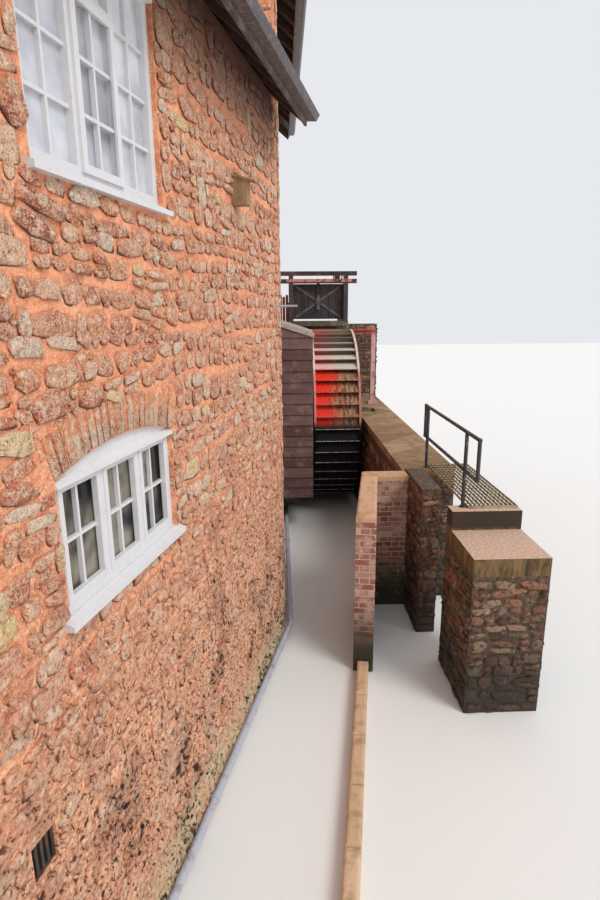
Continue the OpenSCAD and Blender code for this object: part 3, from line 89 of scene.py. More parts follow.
class Finish:
    """One material and its graph of nodes, on the piece's own Object coordinates."""

    def __init__(self, name, roughness=0.8, metallic=0.0):
        self.material = bpy.data.materials.new(name)
        self.material.use_nodes = True
        self.tree = self.material.node_tree
        self.shader = self.tree.nodes["Principled BSDF"]
        self.shader.inputs["Roughness"].default_value = roughness
        self.shader.inputs["Metallic"].default_value = metallic
        self.place = self.add("ShaderNodeTexCoord").outputs["Object"]

    def add(self, kind, links=(), **settings):
        """A node with its settings and with sockets or plain values on its inputs."""
        made = self.tree.nodes.new(kind)
        for key, value in settings.items():
            setattr(made, key, value)
        for socket, value in dict(links).items():
            self.join(made.inputs[socket], value)
        return made

    def join(self, socket, value):
        if isinstance(value, bpy.types.NodeSocket):
            self.tree.links.new(value, socket)
        else:
            socket.default_value = value

    def stretched(self, sizes):
        return self.add("ShaderNodeMapping", {"Vector": self.place, "Scale": sizes}).outputs[0]

    def noise(self, scale, detail=4, rough=0.55, place=None, bend=0.0):
        made = self.add("ShaderNodeTexNoise", {
            "Vector": place or self.place, "Scale": scale, "Detail": detail,
            "Roughness": rough, "Distortion": bend})
        return made.outputs["Fac"]

    def ramp(self, factor, stops):
        """Paint chips at places from 0 to 1 along a factor."""
        made = self.add("ShaderNodeValToRGB", {"Fac": factor})
        points = made.color_ramp.elements
        while len(points) < len(stops):
            points.new(0.5)
        for point, (at, chip) in zip(points, stops):
            point.position = at
            point.color = tint(*chip)
        return made.outputs["Color"]

    def shaded(self, shades):
        """The one shade, or a ramp that gives each loose stone, brick or slate its own."""
        if len(shades) == 1:
            return tint(*shades[0][1])
        return self.ramp(self.add("ShaderNodeNewGeometry").outputs["Random Per Island"], shades)

    def mix(self, factor, first, second):
        return self.add("ShaderNodeMix", {0: factor, 6: first, 7: second}, data_type="RGBA").outputs[2]

    def level(self, factor, first, second):
        """A number between two others."""
        return self.add("ShaderNodeMix", {0: factor, 2: first, 3: second}, data_type="FLOAT").outputs[0]

    def maths(self, way, first, second):
        return self.add("ShaderNodeMath", {0: first, 1: second}, operation=way).outputs[0]

    def times(self, first, second):
        return self.maths("MULTIPLY", first, second)

    def plus(self, first, second):
        return self.maths("ADD", first, second)

    def span(self, value, low, high, share=1.0):
        """0 below low, the share above high, and a smooth step between."""
        ends = {"Value": value, "From Min": low, "From Max": high, "To Max": share}
        return self.add("ShaderNodeMapRange", ends, interpolation_type="SMOOTHSTEP").outputs["Result"]

    def axis(self, name, vector=None):
        return self.add("ShaderNodeSeparateXYZ", {0: vector or self.place}).outputs[name]

    def told(self, name):
        """A value that the mesh itself stores at its corners."""
        return self.add("ShaderNodeAttribute", attribute_name=name).outputs["Fac"]

    def bent(self, scale, amount):
        """The piece's coordinates, pushed about by a noise."""
        push = self.add("ShaderNodeTexNoise", {"Vector": self.place, "Scale": scale}).outputs["Color"]
        return self.add("ShaderNodeVectorMath", {0: push, 1: (amount,) * 3, 2: self.place},
                        operation="MULTIPLY_ADD").outputs[0]

    def cells(self, scale, place):
        """Crazed cells: a random colour in each and the distance to the nearest border."""
        sockets = {"Vector": place, "Scale": scale}
        inside = self.add("ShaderNodeTexVoronoi", sockets)
        border = self.add("ShaderNodeTexVoronoi", sockets, feature="DISTANCE_TO_EDGE")
        return inside.outputs["Color"], border.outputs["Distance"]

    def layered(self, colour, *layers):
        """The colour under others, each with its mask, the share that it covers there and its chip."""
        for mask, share, chip in layers:
            colour = self.mix(self.times(mask, share), colour, tint(*chip))
        return colour

    def bumpy(self, height, depth, strength):
        made = self.add("ShaderNodeBump", {"Height": height, "Distance": depth, "Strength": strength})
        self.join(self.shader.inputs["Normal"], made.outputs["Normal"])

    def paint(self, colour):
        self.join(self.shader.inputs["Base Color"], colour)
        return self.material


print("finish helpers ready")

# %% [markdown]
# A wall that old has one skin over stone and mortar alike: pale and dark grains of sand, damp
# patches, and lime that runs down and dries there. The same skin carries painted shade: small
# near-black hollows and darker pits that crowd together towards the foot, and the painted shadow
# of the eaves. So one helper weathers any base colour and paints that shade, and both finishes
# call it. Each kind of weather and painted shade fades in between two heights, and the painted
# eaves shadow lies on the front walls' faces only.

# %% Weather and painted shade on the walls
CANT = math.radians(14.1)
WORN, LIME_RUNS, LIME_BAND, CROWDED = (3.4, 1.4), (2.4, 0.4), (0.66, 0.34), (3.2, 0.3)
# heights between which the painted shadow of the eaves fades in, on wing and mill
WING_EAVES_SHADOW, MILL_EAVES_SHADOW = (5.3, 6.2), (7.5, 8.3)
WING_FRONT, MILL_FRONT, WING_SIDE = (0.19, 0.28), (0.13, 0.23), (-0.34, -0.5)


def weathered_and_shaded(made, colour, specks, hollow_shade_edge):
    """The colour with sand, damp and lime on it, painted shade in its pits and hollows and the painted shadow
    of the eaves, and a height for the bump.
    """
    x, y, height = made.axis("X"), made.axis("Y"), made.axis("Z")
    low = made.span(height, *WORN)
    cloud = made.noise(2.6, 5, 0.6)
    fine = made.level(low, made.noise(100, 3, 0.72), made.noise(46, 4, 0.74))
    coarse = made.noise(26, 5, 0.68)
    blotch = made.span(coarse, 0.54, 0.66, specks)
    chalk = made.span(coarse, 0.46, 0.36, specks)
    pale = made.span(fine, 0.52, 0.62, specks)
    dark = made.span(fine, 0.48, 0.38, specks)
    # painted shade: darker pits low on the wall
    pit_shade = made.span(made.noise(23, 4, 0.64), 0.44, 0.37, low)
    damp = made.span(cloud, 0.5, 0.62, low)
    runs = made.span(height, *LIME_RUNS, made.span(made.noise(3.1, 5), 0.5, 0.66))
    band = made.span(height, *LIME_BAND, made.span(cloud, 0.3, 0.52))
    crowd = made.span(height, *CROWDED, made.span(cloud, 0.4, 0.62))
    # painted shade: near-black hollows that crowd towards the foot; the same mask dents the bump
    hollow_shade = made.span(made.plus(made.noise(17, 5, 0.66), made.times(crowd, 0.18)),
                     hollow_shade_edge - 0.02, hollow_shade_edge + 0.05)
    # painted shadow of the eaves, on the upper front faces of wing and mill
    canted = made.plus(made.times(x, math.cos(CANT)), made.times(y, -math.sin(CANT)))
    wing_eaves_shadow = made.span(height, *WING_EAVES_SHADOW, made.span(canted, *WING_FRONT))
    mill_eaves_shadow = made.span(height, *MILL_EAVES_SHADOW, made.span(x, *MILL_FRONT))
    eaves_shadow = made.level(made.span(y, *WING_SIDE), mill_eaves_shadow, wing_eaves_shadow)
    colour = made.layered(
        colour, (low, 0.66, (246, 178, 138)), (blotch, 0.45, (164, 80, 40)), (chalk, 0.58, (255, 222, 186)),
        (pale, 0.75, (255, 230, 198)), (dark, 0.5, (120, 50, 14)), (pit_shade, 0.94, (82, 32, 12)),
        (damp, 0.4, (136, 78, 54)), (runs, 0.55, (228, 200, 172)), (band, 0.78, (230, 206, 166)),
        (hollow_shade, 0.94, (44, 22, 12)), (eaves_shadow, 0.85, (66, 36, 30)))
    return colour, made.maths("SUBTRACT", made.plus(made.times(fine, 0.5), coarse), hollow_shade)


print("weather ready")

# %% [markdown]
# Sandstone rubble is a family of colours rather than one: brown-red, purple-brown, buff, pale pink
# and a few grey or cream stones with lichen. Each stone takes one colour at random. Mortar is
# smeared over its upper edges, in a pale colour that is also painted light on those edges, and a
# dark crevice of painted shade lies under its lower ones, where no light falls.
# The meshes of stones store how far each corner stands out (rise) and how high on the stone it is
# (upper).

# %% Sandstone
STONE_COLOURS = [
    (0.0, (208, 100, 64)), (0.1, (246, 160, 120)), (0.2, (224, 120, 80)), (0.3, (250, 186, 152)),
    (0.4, (196, 94, 64)), (0.5, (246, 168, 128)), (0.6, (178, 80, 56)), (0.7, (250, 204, 174)),
    (0.8, (234, 144, 98)), (0.9, (250, 222, 200)), (0.96, (232, 216, 196)), (1.0, (255, 224, 146)),
]
MORTAR_LIGHT, MORTAR_DARK = tint(246, 168, 124), tint(228, 140, 98)


def sandstone(name, colours):
    made = Finish(name, roughness=0.92)
    cloud, broken = made.noise(8, 5, 0.65), made.noise(22, 5, 0.68, bend=0.5)
    stone = made.layered(made.shaded(colours),
                         (made.span(cloud, 0.46, 0.6), 0.45, (250, 196, 158)),
                         (made.span(broken, 0.44, 0.37), 0.6, (158, 68, 32)),
                         (made.span(broken, 0.49, 0.58), 0.66, (255, 222, 190)))
    rise = made.told("rise")
    under = made.span(made.told("upper"), 0.3, -0.45)
    # mortar smeared over the upper edges, pale also as painted light falling on them
    lit_smear = made.span(rise, 0.74, 0.16, made.maths("SUBTRACT", 1.0, under))
    ragged_lit_smear = made.span(made.plus(made.times(lit_smear, 0.5), made.noise(13, 5, 0.66)), 0.6, 0.72)
    stone = made.mix(ragged_lit_smear, stone, MORTAR_LIGHT)
    stone, relief = weathered_and_shaded(made, stone, made.maths("SUBTRACT", 1.0, made.times(ragged_lit_smear, 0.6)), 0.69)
    # painted shade: a dark crevice under the lower edges
    crevice_shade = made.span(rise, 0.62, 0.15, made.plus(made.times(under, 0.88), 0.1))
    made.bumpy(made.plus(relief, made.times(broken, 2.6)), 0.02, 1.0)
    return made.paint(made.mix(crevice_shade, stone, tint(72, 24, 6)))


stone_finish = sandstone("sandstone", STONE_COLOURS)
print("sandstone", len(STONE_COLOURS), "colours")

# %% [markdown]
# Between the stones lies orange lime mortar, smooth in the upper wall. Lower down it is packed with
# small chips of stone: crazed cells with a soft rim of painted shade, which a wide noise leaves out in
# patches.

# %% Mortar
CHIP_COLOURS = [(0.0, (196, 126, 96)), (0.35, (224, 164, 132)), (0.7, (202, 142, 114)),
                (1.0, (234, 200, 170))]


def lime_mortar():
    made = Finish("lime_mortar", roughness=0.95)
    cloud, trowel = made.noise(3.2, 5, 0.6), made.noise(28, 4, 0.62)
    low = made.span(made.axis("Z"), 4.6, 1.6)
    colour = made.layered(made.mix(made.span(cloud, 0.35, 0.68), MORTAR_LIGHT, MORTAR_DARK),
                          (made.span(made.noise(13, 4, 0.6), 0.5, 0.66), 0.5, (206, 118, 80)),
                          (made.span(trowel, 0.45, 0.36), 0.5, (212, 112, 72)),
                          (made.span(trowel, 0.54, 0.66), 0.5, (254, 196, 158)))
    patch = made.plus(made.noise(1.6, 4), made.times(low, 0.22))
    tone, border = made.cells(15, made.bent(7, 0.14))
    chips = made.span(patch, 0.58, 0.7, made.span(tone, 0.34, 0.4))
    chip = made.span(border, 0.06, 0.2, chips)
    # painted shade: a soft dark rim in the crevice round each chip
    rim = made.times(chips, made.span(border, 0.2, 0.08, made.span(border, 0.0, 0.06)))
    colour = made.mix(chip, colour, made.ramp(tone, CHIP_COLOURS))
    colour = made.layered(colour, (rim, 0.5, (132, 72, 48)))
    specks = made.plus(made.maths("MAXIMUM", made.times(chip, 0.6), made.times(low, 0.6)), 0.34)
    colour, relief = weathered_and_shaded(made, colour, specks, 0.72)
    rolling = made.plus(made.plus(made.noise(15, 4, 0.6), trowel), made.times(chip, 0.6))
    made.bumpy(made.plus(made.times(relief, specks), rolling), 0.016, 0.9)
    return made.paint(colour)


mortar_finish = lime_mortar()
print("mortar ready")

# %% [markdown]
# The walls of the pit are the same rubble after years of damp: brown, black and green. Towards the foot they
# turn near black.

# %% Wet rubble
WET_COLOURS = [(0.0, (70, 44, 32)), (0.25, (122, 76, 56)), (0.5, (152, 104, 80)), (0.7, (104, 84, 64)),
               (0.85, (166, 132, 108)), (1.0, (92, 90, 58))]


def wet_rubble(name, colours):
    made = Finish(name, roughness=0.7)
    cloud, grain, blot = made.noise(5, 5, 0.6), made.noise(70, 6, 0.7), made.noise(24, 5, 0.68)
    stone = made.layered(made.shaded(colours),
                         (made.span(cloud, 0.5, 0.7), 0.7, (64, 70, 38)),
                         (made.span(blot, 0.52, 0.6), 0.8, (40, 28, 20)),
                         (made.span(blot, 0.42, 0.34), 0.6, (186, 158, 130)),
                         (made.span(grain, 0.5, 0.72), 0.6, (36, 26, 20)),
                         # darker towards the foot
                         (made.span(made.axis("Z"), 1.3, 0.1), 0.75, (34, 30, 24)))
    made.bumpy(made.plus(grain, made.noise(20, 4, 0.6)), 0.014, 0.9)
    return made.paint(stone)


wet_stone_finish = wet_rubble("wet_rubble", WET_COLOURS)
wet_mortar_finish = wet_rubble("wet_mortar", [(0, (98, 76, 58))])
print("wet rubble ready")

# %% [markdown]
# Other finishes of masonry: slate, clay brick, cream coping stone, mossy slabs and concrete. One
# recipe serves them all. A ramp gives each loose piece its shade, a cloud brings in a stain, and a
# fine noise roughens it. Brickwork that stands in the wet gets a dark foot as well.

# %% Masonry finishes
def masonry(name, shades, stain, stain_share, grain_scale=60, depth=0.006, roughness=0.88, wet_foot=False):
    made = Finish(name, roughness)
    cloud, grain = made.noise(6, 6, 0.65), made.noise(grain_scale, 6, 0.7)
    colour = made.layered(made.shaded(shades), (made.span(cloud, 0.47, 0.68), stain_share, stain))
    colour = made.mix(made.span(grain, 0.52, 0.76, 0.5), colour, tint(*shades[0][1], 0.35))
    if wet_foot:
        wet = made.span(made.axis("Z"), 1.1, 0.2, made.span(cloud, 0.25, 0.5))
        colour = made.mix(wet, colour, tint(52, 50, 32))
    made.bumpy(grain, depth, 0.8)
    return made.paint(colour)


slate_finish = masonry("slates", [(0, (96, 96, 98)), (0.5, (122, 118, 114)), (1, (84, 84, 90))],
                       (150, 142, 118), 0.45, 40, 0.003, 0.75)
ridge_finish = masonry("ridge_tiles", [(0, (120, 92, 78)), (1, (140, 112, 98))], (150, 146, 128), 0.5)
brick_finish = masonry("clay_bricks", [(0, (130, 72, 56)), (0.4, (172, 116, 98)), (0.75, (150, 92, 76)),
                                       (1, (206, 168, 148))],
                       (214, 186, 168), 0.72, 48, 0.01, 0.9, wet_foot=True)
joint_finish = masonry("brick_joints", [(0, (206, 186, 168))],
                       (150, 124, 106), 0.6, 80, 0.006, 0.95, wet_foot=True)
arch_finish = sandstone("arch_bricks", [(0, (240, 164, 126)), (0.3, (252, 216, 190)), (0.5, (222, 138, 104)),
                                        (0.75, (248, 232, 208)), (1, (208, 124, 92))])
coping_finish = masonry("coping_stone", [(0, (216, 176, 142)), (1, (206, 166, 132))],
                        (184, 138, 96), 0.85, 34, 0.014)
kerb_finish = masonry("kerb_stone", [(0, (222, 186, 152)), (1, (206, 168, 132))],
                      (146, 128, 86), 0.7, 30, 0.014)
slab_finish = masonry("walkway_slabs", [(0, (158, 124, 90)), (0.5, (134, 104, 74)), (1, (176, 144, 108))],
                      (88, 82, 44), 0.7, 30, 0.016)


def poured_landing():
    """Concrete: a pale, gritty top, and sides streaked brown and black."""
    made = Finish("landing_concrete", roughness=0.9)
    grit = made.noise(40, 5, 0.75)
    top = made.mix(made.span(grit, 0.4, 0.6), tint(180, 146, 124), tint(214, 184, 162))
    streaks = made.noise(1.0, 6, 0.7, place=made.stretched((12, 12, 2.5)), bend=0.4)
    side = made.mix(made.span(streaks, 0.36, 0.66), tint(134, 106, 70), tint(66, 52, 32))
    side = made.mix(made.span(made.axis("Z"), 1.74, 1.8), side, tint(62, 50, 38))
    facing = made.add("ShaderNodeNewGeometry").outputs["Normal"]
    made.bumpy(grit, 0.005, 0.8)
    return made.paint(made.mix(made.span(made.axis("Z", facing), 0.2, 0.7), side, top))


landing_finish = poured_landing()
print("masonry finishes ready")

# %% [markdown]
# Timber shows its grain as noise drawn out along the board. The housing's boards are stained a
# dark purple-brown, the sluice is near black and the planks at the lip are pale with algae.

# %% Timber finishes
GRAIN_ACROSS, GRAIN_ALONG = 28.0, 1.6


def timber(name, shades, along, roughness=0.75, wear=None, depth=0.004):
    """along is the axis that the grain runs on: 0, 1 or 2."""
    made = Finish(name, roughness)
    sizes = [GRAIN_ALONG if axis == along else GRAIN_ACROSS for axis in range(3)]
    grain = made.noise(1.0, 6, 0.65, place=made.stretched(sizes), bend=0.4)
    colour = made.mix(made.span(grain, 0.48, 0.7, 0.55), made.shaded(shades), tint(*shades[0][1], 0.3))
    if wear:
        colour = made.layered(colour, (made.span(made.noise(5, 5, 0.65), 0.48, 0.66), 0.7, wear))
    made.bumpy(grain, depth, 0.7)
    return made.paint(colour)


board_finish = timber("housing_boards", [(0, (96, 70, 66)), (0.5, (116, 88, 84)), (1, (82, 56, 54))],
                      0, 0.7, (140, 112, 106), 0.008)
# near black: the housing frame's own stain, and painted shade in the gaps between the housing's boards
frame_and_gap_shade_finish = timber("housing_frame", [(0, (38, 26, 24))], 2)
verge_finish = timber("housing_roof", [(0, (176, 170, 160))], 0, 0.8, (128, 116, 104))
black_timber = timber("sluice_timber", [(0, (52, 42, 42)), (0.5, (66, 56, 58)), (1, (42, 34, 34))],
                      0, 0.65, (88, 76, 76))
gate_timber = timber("gate_timber", [(0, (44, 38, 40)), (0.5, (58, 50, 52)), (1, (36, 30, 30))],
                     2, 0.65, (74, 64, 64))
trough_timber = timber("trough_timber", [(0, (92, 80, 66))], 1, 0.8, (150, 150, 118))
cheek_timber = timber("cheek_timber", [(0, (172, 104, 66)), (0.5, (150, 88, 56)), (1, (190, 124, 84))],
                      2, 0.8, (104, 70, 50))
box_timber = timber("box_timber", [(0, (158, 128, 96))], 2, 0.8, (122, 98, 76))
roof_timber = timber("roof_timber", [(0, (82, 60, 52))], 0, 0.8)
floor_timber = timber("floor_boards", [(0, (158, 128, 98))], 1, 0.7)
door_timber = timber("door_boards", [(0, (96, 76, 62)), (1, (84, 66, 54))], 2, 0.75)
eaves_timber = timber("eaves_boards", [(0, (96, 84, 80))], 1, 0.75, (140, 128, 120))
print("timber finishes ready")

# %% [markdown]
# White gloss paint on the windows is nearly clean, with a little grime in its hollows and a few
# flakes on the sills.

# %% White paint and glass
def white_paint(name, flakes):
    made = Finish(name, roughness=0.42)
    grime = made.span(made.noise(14, 5, 0.6), 0.5, 0.85)
    flake = made.span(made.noise(120, 4, 0.6), 0.64, 0.7, flakes)
    made.bumpy(made.noise(60, 3), 0.002, 0.5)
    return made.paint(made.mix(flake, made.mix(grime, tint(218, 216, 217), tint(204, 200, 198)),
                               tint(150, 128, 112)))


def window_glass():
    """Thin panes: low down dark and part clear, painted shade with painted reflections; above, a pale grey
    painted reflection.
    """
    made = Finish("window_glass", roughness=0.06)
    cloud = made.noise(1.7, 4, 0.55)
    low = made.span(made.axis("Z"), 3.9, 4.6)
    # painted reflection, pale grey, on the upper panes
    painted_reflection = made.mix(made.span(cloud, 0.35, 0.65), tint(172, 174, 182), tint(228, 229, 234))
    inside = made.span(made.noise(2.3, 3, 0.5), 0.42, 0.6)
    # painted shade of the dim room with painted reflections, on the low panes
    shade_and_reflection = made.mix(inside, tint(46, 46, 42), tint(168, 160, 144))
    made.join(made.shader.inputs["Alpha"], made.span(low, -2.4, 1.3))
    made.material.surface_render_method = "BLENDED"
    return made.paint(made.mix(low, shade_and_reflection, painted_reflection))


paint_finish = white_paint("white_paint", 0.25)
sill_finish = white_paint("sill_paint", 0.9)
glass_finish = window_glass()
print("paint and glass ready")

# %% [markdown]
# The ironwork: red oxide on the wheel that moss and rust take over to one side, faded pink on the
# post, black on gutters and winch, dull zinc on rail and grating. Here too one recipe serves, with
# paint, wear and the share of it.

# %% Iron finishes
def iron(name, coat, wear, share, roughness=0.55, metallic=0.0, scale=9):
    made = Finish(name, roughness, metallic)
    cloud, fine = made.noise(scale, 6, 0.65), made.noise(scale * 9, 5, 0.65)
    colour = made.mix(made.span(cloud, 0.62 - 0.3 * share, 0.8 - 0.3 * share), tint(*coat), tint(*wear))
    made.bumpy(made.plus(fine, cloud), 0.002, 0.6)
    return made.paint(made.mix(made.span(fine, 0.5, 0.72, 0.35), colour, tint(*coat, 0.4)))


def wheel_paint(name, red, pale, growth=1.0):
    """Fresh red on the land side, brown growth on the open side, a pale painted sheen of sky light above, and
    near black low down, where the wheel is wet and lies in painted shade.
    """
    made = Finish(name, roughness=0.65)
    made.shader.inputs["Specular IOR Level"].default_value = 0.2
    cloud, fine, speck = made.noise(4.5, 6, 0.65), made.noise(30, 6, 0.7), made.noise(95, 3, 0.7)
    height = made.axis("Z")
    across = made.plus(made.axis("X"), made.times(cloud, 0.9))
    runs = made.noise(1.0, 6, 0.7, place=made.stretched((22, 5, 5)), bend=0.3)
    moss = made.mix(made.span(runs, 0.42, 0.56), tint(74, 44, 22), tint(164, 124, 92))
    moss = made.layered(moss, (made.span(speck, 0.54, 0.62), 0.5, (212, 186, 158)))
    colour = made.mix(made.span(across, 1.62, 1.92, growth), tint(*red), moss)
    # painted sheen of sky light on the top plates: the pale chip on the land side, grey-green on the open
    # side
    sky_sheen = made.mix(made.span(across, 1.5, 1.9, growth), tint(*pale), tint(214, 210, 196))
    high = made.plus(made.span(height, 2.85, 3.15), made.span(fine, 0.4, 0.7, 0.3))
    colour = made.mix(made.span(high, 0.2, 0.9, 0.9), colour, sky_sheen)
    colour = made.layered(colour, (made.span(speck, 0.46, 0.36), 0.5, (92, 34, 24)))
    # near black low down: the wet wheel in painted shade of the pit
    wet_shade_below = made.mix(made.span(fine, 0.5, 0.7), tint(6, 5, 5), tint(22, 14, 12))
    made.bumpy(made.plus(fine, cloud), 0.005, 0.8)
    return made.paint(made.mix(made.span(height, 2.12, 1.92), colour, wet_shade_below))


def lip_steel():
    """Bare edges: rusty red where the wheel is painted; low down bare grey steel, painted pale as the
    highlight along each lip.
    """
    made = Finish("bucket_lips", roughness=0.6)
    worn = made.span(made.noise(24, 5, 0.65), 0.4, 0.6)
    upper = made.mix(worn, tint(110, 40, 30), tint(176, 120, 110))
    # bare steel, painted pale as a highlight on the lips in the dark lower wheel
    low_highlight = made.mix(worn, tint(96, 92, 90), tint(168, 166, 164))
    return made.paint(made.mix(made.span(made.axis("Z"), 2.15, 1.9), upper, low_highlight))


# the second chip of each wheel finish is the pale painted sheen on the wheel's top
wheel_finish = wheel_paint("wheel_paint", (236, 52, 32), (246, 188, 184))
shroud_finish = wheel_paint("shroud_paint", (226, 140, 130), (240, 218, 212), 0.35)
lip_finish = lip_steel()
arm_finish = iron("arm_iron", (84, 50, 42), (58, 52, 34), 0.7, 0.7)
axle_finish = iron("axle_iron", (66, 60, 56), (104, 64, 44), 0.6, 0.5, 0.4)
bearing_finish = iron("bearing_iron", (60, 58, 56), (96, 60, 42), 0.5, 0.5, 0.4)
gutter_finish = iron("gutter_iron", (84, 78, 80), (124, 114, 110), 0.5, 0.5, scale=26)
winch_finish = iron("winch_iron", (34, 34, 36), (80, 60, 48), 0.4, 0.45)
vent_finish = iron("vent_iron", (52, 46, 42), (96, 66, 50), 0.5)
post_finish = iron("post_paint", (212, 166, 164), (168, 96, 88), 0.45, 0.6)
beam_finish = iron("beam_paint", (176, 60, 52), (204, 112, 104), 0.5, 0.6)
rail_finish = iron("rail_zinc", (62, 62, 66), (128, 124, 122), 0.3, 0.45, 0.3)
grate_finish = iron("grating_zinc", (176, 162, 132), (128, 112, 84), 0.5, 0.6, 0.1)
strap_finish = iron("gate_straps", (96, 88, 92), (62, 50, 50), 0.5, 0.6)
rail_board_finish = iron("rail_board", (208, 128, 114), (120, 60, 60), 0.55, 0.7, scale=14)
pipe_finish = iron("plastic_pipe", (178, 180, 192), (156, 136, 128), 0.35, 0.4, scale=5)
print("iron finishes ready")

# %% [markdown]
# Each CAD node takes its finish as it stands. Walls take the mortar, because their stones are laid
# on them further on.

# %% Dress the frame
FINISH_OF = {
    mortar_finish: "wing_river_wall wing_land_wall wing_end_wall mill_river_wall mill_land_wall "
                   "mill_near_gable mill_far_gable window_arches",
    wet_mortar_finish: "pit_wall pit_back_wall bank_pier",
    floor_timber: "wing_floors mill_floors",
    slate_finish: "wing_roof mill_roof",
    roof_timber: "rafters",
    ridge_finish: "ridge_tiles",
    eaves_timber: "eaves_boards",
    gutter_finish: "gutters",
    pipe_finish: "wall_pipes",
    paint_finish: "low_window tall_window tall_casement plain_windows",
    sill_finish: "window_sills",
    glass_finish: "window_glass",
    door_timber: "land_door",
    box_timber: "wall_box",
    vent_finish: "wall_vent",
    # the CAD housing boards show through the gaps between the own boards, painted near black as shade
    frame_and_gap_shade_finish: "housing_boards housing_frame",
    verge_finish: "housing_roof",
    shroud_finish: "wheel_shrouds",
    wheel_finish: "wheel_sole wheel_buckets",
    arm_finish: "wheel_arms",
    axle_finish: "wheel_axle",
    bearing_finish: "axle_bearings",
    slab_finish: "walkway_slabs",
    joint_finish: "brick_wall",
    coping_finish: "brick_coping",
    kerb_finish: "kerb_wall",
    post_finish: "trough_post",
    beam_finish: "trough_beam",
    trough_timber: "trough",
    cheek_timber: "cheek_boards",
    black_timber: "sluice_frame",
    gate_timber: "sluice_gate",
    winch_finish: "sluice_winch",
    landing_finish: "landing",
    grate_finish: "footbridge",
    rail_finish: "bridge_rail",
}

for finish, names in FINISH_OF.items():
    for name in names.split():
        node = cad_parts[name]
        node.data.materials.clear()
        node.data.materials.append(finish)
bare = set(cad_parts) - set(" ".join(FINISH_OF.values()).split())
print("nodes without a finish:", sorted(bare))

# %% [markdown]
# Thousands of stones, bricks and slates would be slow as separate objects. Each kind is modelled
# once or a few times as a small pattern piece. Copies of it are then placed by matrices and joined
# in one mesh, so a wall of stones is one object with many loose islands.

# %% Joining many copies in one mesh
def finished(name, mesh, finish, body="root"):
    """The mesh as a piece at the origin, in its finish, riding on its CAD body."""
    mesh.materials.clear()
    mesh.materials.append(finish)
    piece = bpy.data.objects.new(name, mesh)
    bpy.context.scene.collection.objects.link(piece)
    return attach(piece, body)


def pattern(shape):
    """A bmesh as the corner places and the triangles of a pattern piece."""
    bmesh.ops.triangulate(shape, faces=shape.faces)
    corners = np.array([v.co[:] for v in shape.verts])
    faces = np.array([[v.index for v in f.verts] for f in shape.faces])
    shape.free()
    return corners, faces


def joined(name, copies, finish, body="root", smooth=False):
    """One piece from a list of (pattern, 4x4 matrix) pairs. Its corners store their rise in the
    pattern and how high they are on their own copy, from -1 at its foot to 1 at its head."""
    all_corners, all_faces, rises, uppers, start = [], [], [], [], 0
    for (corners, faces), matrix in copies:
        place = np.array(matrix)
        offsets = corners @ place[:3, :3].T
        all_corners.append(offsets + place[:3, 3])
        all_faces.append(faces + start)
        rises.append(corners[:, 2])
        uppers.append(offsets[:, 2] / np.abs(offsets[:, 2]).max())
        start += len(corners)
    mesh = bpy.data.meshes.new(name)
    corners, faces = np.concatenate(all_corners), np.concatenate(all_faces)
    mesh.from_pydata(corners.tolist(), [], faces.tolist())
    mesh.polygons.foreach_set("use_smooth", [smooth] * len(mesh.polygons))
    for label, values in (("rise", rises), ("upper", uppers)):
        stored = mesh.attributes.new(label, "FLOAT", "POINT")
        stored.data.foreach_set("value", np.concatenate(values).astype(np.float32))
    print(f"{name}: {len(copies)} pieces, {len(faces)} triangles")
    return finished(name, mesh, finish, body)


def as_piece(name, shape, wall, finish):
    """A bmesh in a wall's frame as a finished piece."""
    bmesh.ops.recalc_face_normals(shape, faces=shape.faces)
    shape.transform(wall)
    mesh = bpy.data.meshes.new(name)
    shape.to_mesh(mesh)
    shape.free()
    print(f"{name}: {len(mesh.polygons)} faces")
    return finished(name, mesh, finish)


def block_pattern(bevel=0.0):
    """A unit block about the origin, its edges taken off by a share of its size."""
    shape = bmesh.new()
    bmesh.ops.create_cube(shape, size=1.0)
    if bevel:
        bmesh.ops.bevel(shape, geom=shape.edges[:], offset=bevel, affect="EDGES",
                        segments=1, profile=0.5, material=-1)
    bmesh.ops.recalc_face_normals(shape, faces=shape.faces)
    return pattern(shape)


def placed(base, centre, sizes, turn=0.0):
    """Base matrix, then a place in it, a turn in its plane and the three sizes."""
    return base @ Matrix.Translation(centre) @ Matrix.Rotation(turn, 4, "Z") @ Matrix.Diagonal((*sizes, 1.0))


plain_block = block_pattern()
print("block pattern:", len(plain_block[1]), "triangles")

# %% [markdown]
# A rubble stone shows as a low, broken face with a squarish outline and worn corners. A few points
# are set round that outline, fewer and higher ones inside it, and a convex hull is drawn over
# them. Its corners are then pushed in or out, so that the outline has hollows as a broken stone
# has. The hull's underside lies in the wall, so it is cut away.

# %% Stone patterns
STONE_PATTERNS = 24
# Each ring of points: its reach, the heights between which its points lie, and their number
STONE_RINGS = ((1.0, -0.2, 0.1, 10), (0.88, 0.35, 0.85, 8), (0.55, 0.6, 1.25, 4))


def squarish(angle, power):
    """Reach of a rounded unit square in one direction."""
    return (abs(math.cos(angle)) ** power + abs(math.sin(angle)) ** power) ** (-1 / power)


